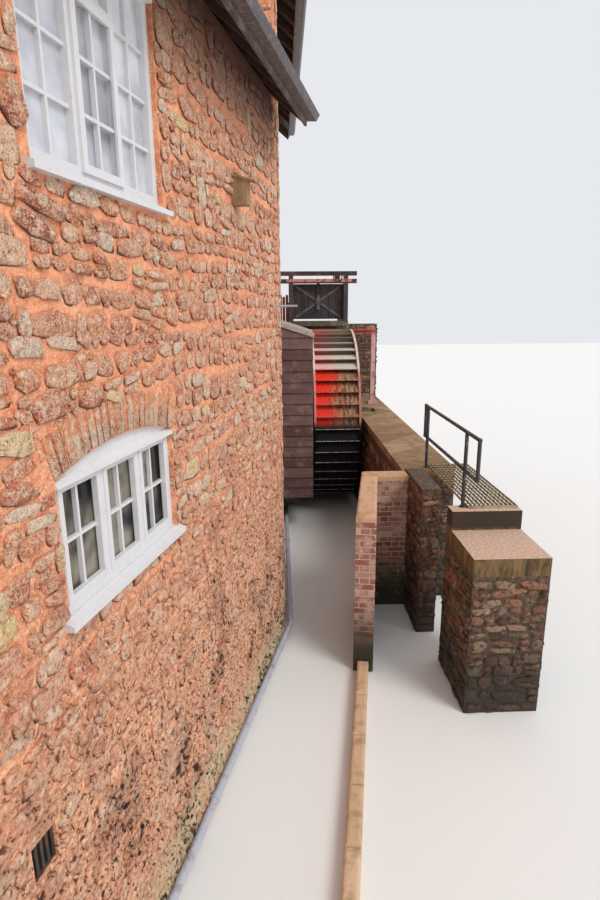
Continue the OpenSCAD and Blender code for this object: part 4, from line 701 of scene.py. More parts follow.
def stone_pattern(seed):
    chance = random.Random(seed)
    shape = bmesh.new()
    power = chance.uniform(2.6, 7.0)
    for share, low, high, count in STONE_RINGS:
        for k in range(count):
            angle = math.tau * (k + chance.uniform(-0.38, 0.38)) / count
            reach = share * squarish(angle, power) * chance.uniform(0.74, 1.05)
            shape.verts.new((reach * math.cos(angle), reach * math.sin(angle), chance.uniform(low, high)))
    hull = bmesh.ops.convex_hull(shape, input=shape.verts[:])
    bmesh.ops.delete(shape, geom=hull["geom_interior"], context="VERTS")
    for corner in shape.verts:
        corner.co.xy *= chance.uniform(0.86, 1.06)
    bmesh.ops.bisect_plane(shape, geom=shape.verts[:] + shape.edges[:] + shape.faces[:],
                           plane_co=(0, 0, 0.12), plane_no=(0, 0, 1), clear_inner=True)
    return pattern(shape)


stones = [stone_pattern(seed) for seed in range(STONE_PATTERNS)]
print("stone patterns:", STONE_PATTERNS, "of about", len(stones[0][1]), "triangles")

# %% [markdown]
# A wall face is a matrix: its X runs along the wall, its Y is up and its Z points out of the
# wall. The wing turns from the mill's front wall by the cant, about the corner where both meet.

# %% Wall faces
CORNER = Vector((0.275, -0.275, 0.0))
WING_LEN, WING_DEPTH, WING_WALL_H = 7.0, 5.0, 6.23
MILL_LEN, MILL_DEPTH, MILL_WALL_H = 8.3, 6.0, 8.34
ROOF_PITCH = math.radians(40)
RAFTER_RISE = 0.11 / math.cos(ROOF_PITCH)
ROOF_RISE = 0.07 / math.cos(ROOF_PITCH)

WING_OUT = Vector((math.cos(CANT), -math.sin(CANT), 0))
WING_ALONG = Vector((math.sin(CANT), math.cos(CANT), 0))
MILL_OUT, MILL_ALONG = Vector((1, 0, 0)), Vector((0, 1, 0))


def face(start, out):
    """Matrix of a wall face from a foot point and the direction out of the wall."""
    up = Vector((0, 0, 1))
    along = up.cross(out)
    return Matrix((
        (along.x, up.x, out.x, start.x), (along.y, up.y, out.y, start.y),
        (along.z, up.z, out.z, start.z), (0, 0, 0, 1)))


wing_river = face(CORNER, WING_OUT)
wing_land = face(CORNER - WING_OUT * WING_DEPTH, -WING_OUT)
wing_end = face(CORNER - WING_ALONG * WING_LEN - WING_OUT * WING_DEPTH / 2, -WING_ALONG)
mill_river = face(CORNER, MILL_OUT)
mill_land = face(CORNER - MILL_OUT * MILL_DEPTH, -MILL_OUT)
mill_near = face(CORNER - MILL_OUT * MILL_DEPTH / 2, -MILL_ALONG)
mill_far = face(CORNER + MILL_ALONG * MILL_LEN - MILL_OUT * MILL_DEPTH / 2, MILL_ALONG)
print("wall faces ready")

# %% [markdown]
# Windows sit at the same heights on every side. Each opening is a rectangle on its wall face, and
# the low ones have a brick arch above it that the stones must leave room for.

# %% Windows and their places
WIN_W, LOW_H, TALL_H = 1.23, 0.68, 1.11
SILL_H, SILL_HORN = 0.052, 0.045
LOW_Z, FIRST_Z, SECOND_Z = 2.72, 4.76, 6.79
ARCH_RISE, ARCH_TALL, ARCH_N = 0.09, 0.215, 20
ARCH_SIDE, ARCH_DIP = 0.09, 0.03
LOW_AT, TALL_AT = -3.57, -3.49
WING_BACK = WING_DEPTH * math.tan(CANT)
LAND_AT = WING_BACK / 2 - LOW_AT
DOOR_AT = LAND_AT - 1.7
DOOR_W, DOOR_Z, DOOR_H = 0.95, 1.95, 2.0
MILL_AT = (-0.28 * MILL_LEN, -0.72 * MILL_LEN)

low, first, second = (LOW_Z, LOW_H), (FIRST_Z, TALL_H), (SECOND_Z, TALL_H)
columns = [(wing_river, LOW_AT, [low]), (wing_river, TALL_AT, [first]),
           (wing_land, LAND_AT, [low, first]), (wing_end, 0, [low, first]),
           *[(mill_land, middle, [low, first, second]) for middle in MILL_AT],
           (mill_far, 0, [low, first, second])]
# Each window: its face, its middle along that face, the height of its sill's top, and its height
windows = [(wall, middle, z, height) for wall, middle, rows in columns for z, height in rows]


def window_gaps(wall):
    """Rectangles (left, right, foot, top) that the windows of one wall take up."""
    gaps = []
    for place, middle, z, height in windows:
        if place is wall:
            half = WIN_W / 2
            gaps.append((middle - half, middle + half, z - SILL_H, z + height))
            gaps.append((middle - half - SILL_HORN, middle + half + SILL_HORN, z - SILL_H, z))
            if height == LOW_H:
                gaps.append((middle - half - ARCH_SIDE, middle + half + ARCH_SIDE,
                             z + height - ARCH_DIP, z + height + ARCH_RISE + ARCH_TALL))
    return gaps


print(len(windows), "windows")

# %% [markdown]
# The mason lays rubble in rough courses. Each course gets a random height and is filled with stones
# of random width between the openings. The courses wander up and down a little, some stones are
# split in two thin ones, and every stone is turned slightly.

# %% Laying rubble
BED, CALM = -0.001, 0.4


def free_spans(left, right, foot, top, gaps):
    """Stretches of a course that no opening cuts."""
    spans = [(left, right)]
    for a, b, low, high in gaps:
        if low < top and high > foot:
            spans = [part for s, e in spans for part in ((s, min(e, a)), (max(s, b), e))
                     if part[1] - part[0] > 0.05]
    return spans


def widths_for(length, mean, chance):
    """Random stone widths that fill one stretch exactly."""
    widths = []
    while sum(widths) < length:
        kind = chance.choice((0.5, 0.7, 0.85, 1.0, 1.15, 1.4, 1.8))
        widths.append(mean * kind * chance.uniform(0.85, 1.15))
    fit = length / sum(widths)
    return [w * fit for w in widths]


def lay_rubble(name, wall, span, top_at, gaps, mean_at, joint, relief, seed, finish, pinned=0.0):
    """Stones over one wall face. top_at gives the wall's height at a place along it, mean_at the
    stones' mean width and height at a level, and pinned the share of joints with a small stone.
    The courses run level near openings, and the stones' underside lies just in the mortar."""
    chance = random.Random(seed)
    copies = []
    levels = sorted(edge for gap in gaps for edge in gap[2:])
    foot, highest = 0.0, max(top_at(span[0]), top_at(sum(span) / 2), top_at(span[1]))
    while foot < highest - 0.03:
        mean_width, mean_height = mean_at(foot)
        rise = mean_height * chance.uniform(0.6, 1.5)
        near = [level - foot for level in levels if 0.4 * rise < level - foot < 1.6 * rise]
        rise = near[0] if near else rise
        phase = chance.uniform(0, math.tau)
        for left, right in free_spans(*span, foot, foot + rise, gaps):
            at = left
            for width in widths_for(right - left, mean_width, chance):
                middle = at + width / 2
                at += width
                if foot + rise > top_at(middle) - 0.02:
                    continue
                edge = min(middle - left, right - middle, CALM) / CALM
                wave = 0.25 * rise * edge * math.sin(2.3 * middle + phase)
                parts = 2 if rise > 1.1 * mean_height and chance.random() < 0.3 else 1
                for k in range(parts):
                    height = rise / parts
                    spare = min(middle - left, right - middle) - 0.004
                    up = foot + wave + (k + 0.5) * height
                    size = (min(max(width - joint, 0.03) * chance.uniform(0.98, 1.26) / 2, spare),
                            min(max(height - joint, 0.02) * chance.uniform(1.04, 1.4) / 2, 0.9 * up),
                            relief * chance.uniform(0.45, 1.3))
                    centre = (middle, up, BED)
                    lean = 0.22 * min((up - size[1]) / 0.12, 1)
                    turn = chance.uniform(-lean, lean) + chance.choice((0, math.pi))
                    copies.append((chance.choice(stones), placed(wall, centre, size, turn)))
                if chance.random() < pinned and left + 0.05 < at < right - 0.05:
                    pin = (at + chance.uniform(-0.01, 0.01),
                           foot + wave + chance.choice((0.3, 0.5, 0.8)) * rise, BED)
                    size = (chance.uniform(0.016, 0.038), chance.uniform(0.011, 0.024), 0.7 * relief)
                    small = chance.choice(stones)
                    copies.append((small, placed(wall, pin, size, chance.uniform(0, math.pi))))
        foot += rise
    return joined(name, copies, finish)


def eaves_top(height):
    return lambda s: height


def gable_top(depth, height):
    rise = height + RAFTER_RISE
    return lambda s: rise + (depth / 2 - abs(s)) * math.tan(ROOF_PITCH) - 0.05


def same_size(width, height):
    return lambda level: (width, height)


def front_size(level):
    """Small, flat stones at the foot and larger, squarer ones further up."""
    share = min(max((level - 1.2) / 2.4, 0), 1)
    return 0.12 + 0.05 * share, 0.075 + 0.04 * share


VENT = (-4.635, -4.465, 1.62, 1.835)
lay_rubble("wing_river_stones", wing_river, (-WING_LEN, 0), eaves_top(WING_WALL_H),
           window_gaps(wing_river) + [VENT], front_size, 0.012, 0.024, 11, stone_finish, 0.55)

# %% [markdown]
# The other walls get slightly larger stones, which keeps the count down on the sides that are seen
# from further off.

# %% Rubble on the other walls
FAR_STONE = same_size(0.25, 0.15)
wing_half, mill_half = WING_DEPTH / 2, MILL_DEPTH / 2
wing_eaves, wing_gable = eaves_top(WING_WALL_H), gable_top(WING_DEPTH, WING_WALL_H)
mill_eaves, mill_gable = eaves_top(MILL_WALL_H), gable_top(MILL_DEPTH, MILL_WALL_H)
door_gap = (DOOR_AT - DOOR_W / 2, DOOR_AT + DOOR_W / 2, DOOR_Z, DOOR_Z + DOOR_H)
axle_gap = (5.62, 6.08, 1.725, 2.105)
wing_cover = (0.85 - mill_half, mill_half, 0, WING_WALL_H + 0.1)
# Each wall: its name, face, ends, top, gaps besides windows, mean stone and joint
other_walls = [
    ("wing_land", wing_land, (WING_BACK, WING_LEN), wing_eaves, [door_gap], FAR_STONE, 0.02),
    ("wing_end", wing_end, (-wing_half, wing_half), wing_gable, [], FAR_STONE, 0.02),
    ("mill_river", mill_river, (0, MILL_LEN), mill_eaves, [axle_gap], same_size(0.2, 0.13), 0.018),
    ("mill_land", mill_land, (-MILL_LEN, 0), mill_eaves, [], FAR_STONE, 0.02),
    ("mill_far", mill_far, (-mill_half, mill_half), mill_gable, [], FAR_STONE, 0.02),
    ("mill_near", mill_near, (-mill_half, mill_half), mill_gable, [wing_cover], FAR_STONE, 0.02),
]
for seed, (name, wall, span, top_at, gaps, stone, joint) in enumerate(other_walls, 12):
    lay_rubble(f"{name}_stones", wall, span, top_at, window_gaps(wall) + gaps, stone, joint, 0.022,
               seed, stone_finish)

# %% [markdown]
# The pit wall, its head, the back wall and the pier opposite it are the same work, wet and
# dark. Their faces are set out from the CAD nodes' own boxes.

# %% Rubble round the pit
PIT_STONE = same_size(0.2, 0.11)


def lay_box_rubble(name, low, high, sides, seed, gaps=()):
    """Stones on the named sides of an upright block. Gaps hold for its left side."""
    middle = (low + high) / 2
    deep, wide = (high.y - low.y) / 2, (high.x - low.x) / 2
    outs = {"left": ((low.x, middle.y), (-1, 0), deep), "right": ((high.x, middle.y), (1, 0), deep),
            "near": ((middle.x, low.y), (0, -1), wide), "far": ((middle.x, high.y), (0, 1), wide)}
    for k, side in enumerate(sides.split()):
        (x, y), out, half = outs[side]
        wall = face(Vector((x, y, 0)), Vector((*out, 0)))
        lay_rubble(f"{name}_{side}_stones", wall, (-half, half), eaves_top(high.z),
                   gaps if side == "left" else (), PIT_STONE, 0.022, 0.024, seed + k, wet_stone_finish)


pit_low, pit_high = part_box("pit_wall")
slab_low, slab_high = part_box("walkway_slabs")
bearing_low, bearing_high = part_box("axle_bearings")
run_low = Vector((pit_low.x, slab_low.y, 0))
run_high = Vector((pit_high.x, slab_high.y, slab_low.z))
axle_y = (bearing_low.y + bearing_high.y) / 2
run_middle = (run_low.y + run_high.y) / 2
NOTCH_HALF, NOTCH_FOOT, NOTCH_TOP = 0.23, 1.725, 2.0
notch = (run_middle - axle_y - NOTCH_HALF, run_middle - axle_y + NOTCH_HALF, NOTCH_FOOT, NOTCH_TOP)
lay_box_rubble("pit_wall", run_low, run_high, "left right near", 21, [notch])
HEAD_X, HEAD_W = 2.015, 0.24
lay_box_rubble("pit_head", Vector((HEAD_X, pit_low.y, 0)),
               Vector((HEAD_X + HEAD_W, slab_low.y, pit_high.z)), "left right near", 31)
lay_box_rubble("pit_back", *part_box("pit_back_wall"), "near far right", 41)
lay_box_rubble("bank_pier", *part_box("bank_pier"), "left right near far", 51)

# %% [markdown]
# The dividing wall is nine-inch brickwork in Flemish bond: headers and stretchers take turns, and
# each course starts half a step on. A long leg leans off by ten degrees, and a cross arm joins it to
# the head of the pit wall. The CAD wall behind shows as the mortar joints, so each brick stands
# only a few millimetres proud of it.

# %% Brickwork
BRICK_TURN = math.radians(10)
BRICK_OUT, ARM_SHOWN = -0.011, 0.56
BRICK_T, BRICK_H, COURSE = 0.225, 1.87, 0.0748
STRETCHER, HEADER, BRICK_JOINT, BRICK_TALL = 0.215, 0.1025, 0.01, 0.065
LEG_LEN = 1.74 / math.cos(BRICK_TURN)
brick_corner = Vector((1.395, 0.785, 0))
leg_in = Vector((math.cos(BRICK_TURN), -math.sin(BRICK_TURN), 0))
leg_down = Vector((-math.sin(BRICK_TURN), -math.cos(BRICK_TURN), 0))
inner_down = BRICK_T * (1 - math.sin(BRICK_TURN)) / math.cos(BRICK_TURN)
brick_block = block_pattern(0.06)


def mitre(across):
    """Where lines at this distance inside leg and cross arm meet."""
    run = math.cos(BRICK_TURN) - math.tan(BRICK_TURN) * (1 - math.sin(BRICK_TURN))
    return brick_corner.x + across * run, brick_corner.y - across


def lay_bricks(name, wall, span, seed):
    chance = random.Random(seed)
    copies = []
    for course in range(round(BRICK_H / COURSE)):
        at = span[0] - (course % 2) * (STRETCHER + HEADER + 2 * BRICK_JOINT) / 2
        turn = 0
        while at < span[1]:
            length = (STRETCHER, HEADER)[turn % 2]
            turn += 1
            left, right = max(at, span[0]), min(at + length, span[1])
            at += length + BRICK_JOINT
            if right - left < 0.03:
                continue
            centre = ((left + right) / 2, (course + 0.5) * COURSE, BRICK_OUT + chance.uniform(-0.002, 0.001))
            size = (right - left, BRICK_TALL * chance.uniform(0.94, 1.03), 0.03)
            copies.append((brick_block, placed(wall, centre, size, chance.uniform(-0.012, 0.012))))
    return joined(name, copies, brick_finish)


inner_x, inner_y = mitre(BRICK_T)
lay_bricks("leg_outer_bricks", face(brick_corner, -leg_in), (0, LEG_LEN), 61)
lay_bricks("leg_inner_bricks", face(brick_corner + leg_in * BRICK_T, leg_in), (-LEG_LEN, -inner_down), 62)
lay_bricks("leg_end_bricks", face(brick_corner + leg_in * BRICK_T / 2 + leg_down * LEG_LEN, leg_down),
           (-BRICK_T / 2, BRICK_T / 2), 63)
lay_bricks("arm_far_bricks", face(brick_corner, MILL_ALONG), (-ARM_SHOWN, 0), 64)
lay_bricks("arm_near_bricks", face(Vector((inner_x, inner_y, 0)), -MILL_ALONG),
           (0, HEAD_X - inner_x), 65)

# %% [markdown]
# The brick wall is capped with cream stones whose upper edges are worn round, and the low kerb wall
# runs on from its end in shorter blocks. Both take the place of the CAD's plain chamfered runs. A
# loose stone's random shade hangs on the order of its corners and edges, and bevel leaves them in
# another order each run. Where the pieces are few and large that would show, so they are sorted.

# %% Coping and kerb stones
STONE_GAP, WORN_EDGE = 0.003, 0.03
KERB_T, KERB_LEN, KERB_N = 0.13, 4.8, 8
LEG_CUTS = (0.0, 0.52, 1.14, LEG_LEN)
coping_low, coping_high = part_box("brick_coping")
kerb_low, kerb_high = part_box("kerb_wall")


def settled(corners, faces):
    """A bevelled pattern with its corners and triangles in the order of their places."""
    order = np.lexsort(np.round(corners, 5).T)
    faces = np.argsort(order)[faces]
    return corners[order], np.array(sorted(tuple(np.roll(face, -face.argmin())) for face in faces))


def worn_stone(plan, foot, top):
    """A stone from its plan: extruded up, its upper edges worn round."""
    shape = bmesh.new()
    corners = [shape.verts.new((x, y, foot)) for x, y in plan]
    bottom = bmesh.ops.contextual_create(shape, geom=corners)["faces"]
    raised = bmesh.ops.extrude_face_region(shape, geom=bottom, use_keep_orig=True)["geom"]
    upper = [g for g in raised if isinstance(g, bmesh.types.BMVert)]
    bmesh.ops.translate(shape, verts=upper, vec=(0, 0, top - foot))
    rim = [g for g in raised if isinstance(g, bmesh.types.BMEdge)]
    bmesh.ops.bevel(shape, geom=rim, offset=WORN_EDGE, affect="EDGES",
                    segments=3, profile=0.5, material=-1)
    bmesh.ops.recalc_face_normals(shape, faces=shape.faces)
    return settled(*pattern(shape))


def on_leg(across, down):
    """A point of the long leg: in from its outer face and down from the corner."""
    spot = brick_corner + leg_in * across + leg_down * down
    return spot.x, spot.y


outer_x, outer_y = mitre(0)
coping = []
for a, b in zip(LEG_CUTS, LEG_CUTS[1:]):
    far = [on_leg(across, a + STONE_GAP) for across in (0, BRICK_T)] if a else [mitre(0), mitre(BRICK_T)]
    coping.append([*far, on_leg(BRICK_T, b), on_leg(0, b)])
coping.append([(outer_x, outer_y), (HEAD_X, outer_y), (HEAD_X, inner_y), (inner_x, inner_y)])
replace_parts(joined("coping_stones", [(worn_stone(plan, coping_low.z, coping_high.z), Matrix())
                                     for plan in coping], coping_finish), "brick_coping")

left, right = (BRICK_T - KERB_T) / 2, (BRICK_T + KERB_T) / 2
kerb = []
for k in range(KERB_N):
    a = LEG_LEN + 0.001 + k * KERB_LEN / KERB_N
    b = a + KERB_LEN / KERB_N - STONE_GAP
    kerb.append([on_leg(left, a), on_leg(right, a), on_leg(right, b), on_leg(left, b)])
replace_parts(joined("kerb_stones", [(worn_stone(plan, kerb_low.z, kerb_high.z), Matrix())
                                   for plan in kerb], kerb_finish), "kerb_wall")

# %% [markdown]
# A low window's arch is twenty bricks on edge, fanned about the centre of its curve. The CAD arch
# behind them shows as their mortar, and each brick stands out and leans a little differently.

# %% Arch bricks
ARCH_R = ((WIN_W / 2) ** 2 + ARCH_RISE ** 2) / (2 * ARCH_RISE)
ARCH_STEP = 2 * math.asin(WIN_W / 2 / ARCH_R) / ARCH_N
ARCH_DEEP = 0.03
arch_copies = []
arch_chance = random.Random(66)
for wall, middle, z, height in windows:
    if height != LOW_H:
        continue
    centre_z = z + height + ARCH_RISE - ARCH_R
    for k in range(ARCH_N):
        lean = (k - (ARCH_N - 1) / 2) * ARCH_STEP + arch_chance.uniform(-0.1, 0.1) * ARCH_STEP
        reach = ARCH_R + ARCH_TALL / 2
        spot = (middle + reach * math.sin(lean), centre_z + reach * math.cos(lean),
                -ARCH_DEEP / 2 + arch_chance.uniform(0.002, 0.009))
        size = (ARCH_STEP * reach - arch_chance.uniform(0.01, 0.022),
                ARCH_TALL - arch_chance.uniform(0, 0.02), ARCH_DEEP)
        arch_copies.append((brick_block, placed(wall, spot, size, -lean)))
joined("arch_bricks", arch_copies, arch_finish)

# %% [markdown]
# Glazing bars divide each light into small panes. The low windows have a casement in every light,
# the tall ones only in the middle, under a fanlight. All bars of one kind of window are one list of
# blocks in the window's own frame, laid on all fifteen windows.

# %% Glazing bars
FRAME_W, GLASS_AT, FACE_AT = 0.05, -0.075, -0.03
BAR, STILE, LAP, BAR_OUT = 0.018, 0.034, 0.008, 0.014
LIGHT_W = (WIN_W - 4 * FRAME_W) / 3
TRANSOM_Z = 0.788


def grid_bars(middle, foot, top, columns, rows, out):
    """Bars that cut one light into columns and rows: (centre, sizes) pairs."""
    bars = []
    for k in range(1, columns):
        bars.append(((middle - LIGHT_W / 2 + k * LIGHT_W / columns, (foot + top) / 2, out),
                     (BAR, top - foot, 0.026)))
    for k in range(1, rows):
        bars.append(((middle, foot + k * (top - foot) / rows, out), (LIGHT_W, BAR, 0.024)))
    return bars


def casement(middle, foot, top, width, out):
    """Four members of one opening frame."""
    tall = top - foot
    sides = [((middle + side * (width - STILE) / 2, (foot + top) / 2, out), (STILE, tall, 0.034))
             for side in (-1, 1)]
    return sides + [((middle, z, out), (width - 2 * STILE, STILE, 0.032))
                    for z in (foot + STILE / 2, top - STILE / 2)]


def window_bars(height):
    bars = []
    for k in range(3):
        middle = -WIN_W / 2 + FRAME_W + LIGHT_W / 2 + k * (LIGHT_W + FRAME_W)
        if height == LOW_H:
            bars += casement(middle, FRAME_W - LAP, height - FRAME_W + LAP, LIGHT_W + 2 * LAP, FACE_AT - 0.01)
            bars += grid_bars(middle, FRAME_W, height - FRAME_W, 2, 2, GLASS_AT + BAR_OUT)
        elif k == 1:
            bars += grid_bars(middle, FRAME_W, TRANSOM_Z, 2, 3, GLASS_AT + 0.03)
            bars += grid_bars(middle, TRANSOM_Z + FRAME_W, height - FRAME_W, 2, 1, GLASS_AT + BAR_OUT)
        else:
            bars += grid_bars(middle, FRAME_W, height - FRAME_W, 2, 4, GLASS_AT + BAR_OUT)
    return bars


bar_copies = [(plain_block, placed(wall @ Matrix.Translation((middle, z, 0)), centre, sizes))
              for wall, middle, z, height in windows for centre, sizes in window_bars(height)]
joined("glazing_bars", bar_copies, paint_finish)

# %% [markdown]
# Slates hang in courses that break joint. A slope is another matrix, tipped from its wall's face:
# its Y climbs the roof. Each slate is a thin block that leans on the course below, so its lower
# edge stands proud.

# %% Slates
SLATE_W, SLATE_GAUGE, SLATE_T, SLATE_LAP, SLATE_TILT = 0.25, 0.2, 0.009, 1.04, -2.2
EDGE_OUT, VERGE = 0.391, 0.1


def slope_of(wall, wall_height):
    """Matrix of a roof slope over a wall, from its lower edge up."""
    sin, cos = math.sin(ROOF_PITCH), math.cos(ROOF_PITCH)
    foot = wall_height + RAFTER_RISE + ROOF_RISE - EDGE_OUT * math.tan(ROOF_PITCH)
    tip = Matrix(((1, 0, 0, 0), (0, sin, cos, foot), (0, -cos, sin, EDGE_OUT), (0, 0, 0, 1)))
    return wall @ tip


def lay_slates(name, slope, depth, span_at, seed):
    """span_at gives the ends of a course from its distance inside the wall's face."""
    chance = random.Random(seed)
    copies = []
    length = (depth / 2 + EDGE_OUT) / math.cos(ROOF_PITCH)
    for course in range(int(length / SLATE_GAUGE)):
        climb = (course + 0.5) * SLATE_GAUGE
        left, right = span_at(climb * math.cos(ROOF_PITCH) - EDGE_OUT)
        at = left - (course % 2) * SLATE_W / 2
        while at < right - 0.02:
            a, b = max(at, left), min(at + SLATE_W, right)
            at += SLATE_W
            if b - a < 0.03:
                continue
            centre = ((a + b) / 2, climb + chance.uniform(-0.003, 0.003), 0.004 + chance.uniform(0, 0.002))
            tilt = Matrix.Rotation(math.radians(SLATE_TILT + chance.uniform(-0.5, 0.3)), 4, "X")
            sizes = Matrix.Diagonal((b - a - 0.004, SLATE_GAUGE * SLATE_LAP, SLATE_T, 1))
            copies.append((plain_block, slope @ Matrix.Translation(centre) @ tilt @ sizes))
    return joined(name, copies, slate_finish)


tan_cant = math.tan(CANT)
lay_slates("wing_river_slates", slope_of(wing_river, WING_WALL_H), WING_DEPTH,
           lambda inside: (-WING_LEN - VERGE, -inside * tan_cant), 71)
lay_slates("wing_land_slates", slope_of(wing_land, WING_WALL_H), WING_DEPTH,
           lambda inside: ((WING_DEPTH - inside) * tan_cant, WING_LEN + VERGE), 72)
lay_slates("mill_river_slates", slope_of(mill_river, MILL_WALL_H), MILL_DEPTH,
           lambda inside: (-VERGE, MILL_LEN + VERGE), 73)
lay_slates("mill_land_slates", slope_of(mill_land, MILL_WALL_H), MILL_DEPTH,
           lambda inside: (-MILL_LEN - VERGE, VERGE), 74)

# %% [markdown]
# The housing is clad in feather-edge boards: each is a wedge, thick at its lower edge, with a gap
# above it where the CAD boards behind show, painted near black as shade. The boards are blocks whose
# upper front edge is pulled back, and the front ones are cut along the roof's slope with one bisecting plane.

# %% Housing boards
HOUSING_W, HOUSING_Z, HOUSING_TOP, HOUSING_FALL = 0.585, 0.67, 3.85, 0.19
BOARD_N, BOARD_THICK, BOARD_OVER, LAP_GAP = 16, 0.026, 0.012, 0.007
SIDE_TOP, SIDE_THICK = 3.64, 0.018
AXLE_HALF, AXLE_FOOT, AXLE_HEAD = 0.1, 1.81, 2.02


def add_wedge(shape, left, right, foot, top, thick):
    """One feather-edge board on the plane Z = 0, in a wall's own frame."""
    for v in bmesh.ops.create_cube(shape, size=1.0)["verts"]:
        high = v.co.y > 0
        v.co.x = left if v.co.x < 0 else right
        v.co.z = -0.004 if v.co.z < 0 else (0.35 * thick if high else thick)
        v.co.y = top if high else foot


housing_low, housing_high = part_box("housing_boards")
front_wall = face(Vector((CORNER.x, housing_low.y, 0)), -MILL_ALONG)
front = bmesh.new()
board_tall = (HOUSING_TOP - HOUSING_Z) / BOARD_N
for k in range(BOARD_N):
    foot = HOUSING_Z + k * board_tall
    add_wedge(front, 0, HOUSING_W + BOARD_OVER, foot, foot + board_tall - LAP_GAP, BOARD_THICK)
fall = HOUSING_FALL / HOUSING_W
bmesh.ops.bisect_plane(front, geom=front.verts[:] + front.edges[:] + front.faces[:],
                       plane_co=(0, HOUSING_TOP, 0), plane_no=(fall, 1, 0), clear_outer=True)
as_piece("housing_front_boards", front, front_wall, board_finish)

side_wall = face(Vector((housing_high.x, housing_low.y, 0)), MILL_OUT)
side = bmesh.new()
side_end = housing_high.y - housing_low.y
side_tall = (SIDE_TOP - HOUSING_Z) / BOARD_N
axle_at = axle_y - housing_low.y
for k in range(BOARD_N):
    foot = HOUSING_Z + k * side_tall
    at_axle = foot < AXLE_HEAD and foot + side_tall > AXLE_FOOT
    runs = ((0, axle_at - AXLE_HALF), (axle_at + AXLE_HALF, side_end)) if at_axle else ((0, side_end),)
    for left, right in runs:
        add_wedge(side, left, right, foot, foot + side_tall - LAP_GAP, SIDE_THICK)
as_piece("housing_side_boards", side, side_wall, board_finish)

# %% [markdown]
# The buckets are raking plates between two shrouds. Each ends in a worn steel lip with a row of
# rivets, two straps cross every plate, and a bolted flange runs round inside each rim. All of it
# turns with the wheel, so the places are angles about the axle.

# %% Lips, straps, flanges and rivets of the wheel
AXLE = Vector((1.365, 5.575, 1.915))
WHEEL_W, SHROUD_T, BUCKET_N = 0.9, 0.014, 48
ELBOW_R, TIP_R, TIP_SHARE, FLANGE_R = 1.685, 1.803, 1.05, 1.7985
LIP_W, STRAP_W, STRAP_T, FLANGE = 0.012, 0.034, 0.003, (0.026, 0.004, 0.235)
LIP_RIVET, RIM_BOLT, SHROUD_BOLT = (0.006, 0.006, 0.005), (0.009, 0.006, 0.009), (0.006, 0.011, 0.011)
bucket_step = math.tau / BUCKET_N
tip_turn = bucket_step * TIP_SHARE
plate_y, plate_z = TIP_R * math.cos(tip_turn) - ELBOW_R, TIP_R * math.sin(tip_turn)
plate_len = math.hypot(plate_y, plate_z)
rake = math.atan2(plate_z, plate_y)


def dome_pattern():
    """A bolt or rivet head of unit radius, seen from its round side."""
    shape = bmesh.new()
    bmesh.ops.create_icosphere(shape, subdivisions=1, radius=1.0)
    return pattern(shape)


def on_wheel(turn, reach=0.0):
    """Matrix at the axle or this far from it: X along the axle, Y away from it."""
    return Matrix.Translation(AXLE) @ Matrix.Rotation(turn, 4, "X") @ Matrix.Translation((0, reach, 0))


def spread(half, count):
    return [half * (2 * k / (count - 1) - 1) for k in range(count)]


dome = dome_pattern()
lips, straps, heads, flanges = [], [], [], []
inside = WHEEL_W / 2 - SHROUD_T
for k in range(BUCKET_N):
    plate = on_wheel(k * bucket_step, ELBOW_R) @ Matrix.Rotation(rake, 4, "X")
    lips.append((plain_block, placed(plate, (0, plate_len - LIP_W / 2, -0.0045),
                                     (2 * inside - 0.004, LIP_W, STRAP_T))))
    for x in (-inside / 3, inside / 3):
        straps.append((plain_block, placed(plate, (x, plate_len / 2 + 0.02, -0.0055),
                                           (STRAP_W, plate_len - 0.07, STRAP_T))))
    for x in spread(inside - 0.05, 9):
        heads.append((dome, placed(plate, (x, plate_len - 0.036, -0.004), LIP_RIVET)))
    rim = on_wheel(k * bucket_step, FLANGE_R)
    for side in (-1, 1):
        flanges.append((plain_block, placed(rim, (side * (inside - 0.014), 0, 0), FLANGE)))
        heads.append((dome, placed(rim, (side * (inside - 0.014), 0.003, 0), RIM_BOLT)))
        for reach in (-0.06, -0.27):
            heads.append((dome, placed(rim, (side * WHEEL_W / 2, reach, 0), SHROUD_BOLT)))
joined("bucket_lips", lips, lip_finish, "wheel")
joined("bucket_straps", straps, wheel_finish, "wheel")
print("rake of the plates:", round(math.degrees(rake), 1), "degrees")
joined("rim_flanges", flanges, shroud_finish, "wheel")
joined("wheel_rivets", heads, shroud_finish, "wheel", smooth=True)

# %% [markdown]
# The sluice gate is made of upright boards with crossed iron straps over its braces and a long stem.
# A faded red board is nailed along the lower rail, and bolts hold rails and posts. The gate's own
# pieces slide with it.

# %% Boards, straps and bolts of the sluice
gate_low, gate_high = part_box("sluice_gate")
sluice_low, sluice_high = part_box("sluice_frame")
STEM_D, STEM_UP, BRACE_T, BRACE_W, GATE_FACE, GATE_BOARDS = 0.05, 0.11, 0.022, 0.06, 1.095, 7
RAIL_H, RAIL_GAP = 0.092, 0.07
BRACE_BOLT, RAIL_BOLT = (0.011, 0.011, 0.007), (0.014, 0.014, 0.009)
gate_face = face(Vector(((gate_low.x + gate_high.x) / 2, gate_low.y + STEM_D, 0)), -MILL_ALONG)
gate_foot, gate_top = gate_low.z, gate_high.z - STEM_UP
gate_middle = (gate_foot + gate_top) / 2
gate_chance = random.Random(81)
boards = []
board_w = GATE_FACE / GATE_BOARDS
gate_board = settled(*brick_block)
for k in range(GATE_BOARDS):
    x = (k + 0.5) * board_w - GATE_FACE / 2
    boards.append((gate_board, placed(gate_face, (x, gate_middle - gate_chance.uniform(0, 0.004), 0.003),
                                      (board_w - 0.007, gate_top - gate_foot - 0.008, 0.008))))
joined("gate_boards", boards, gate_timber, "gate")

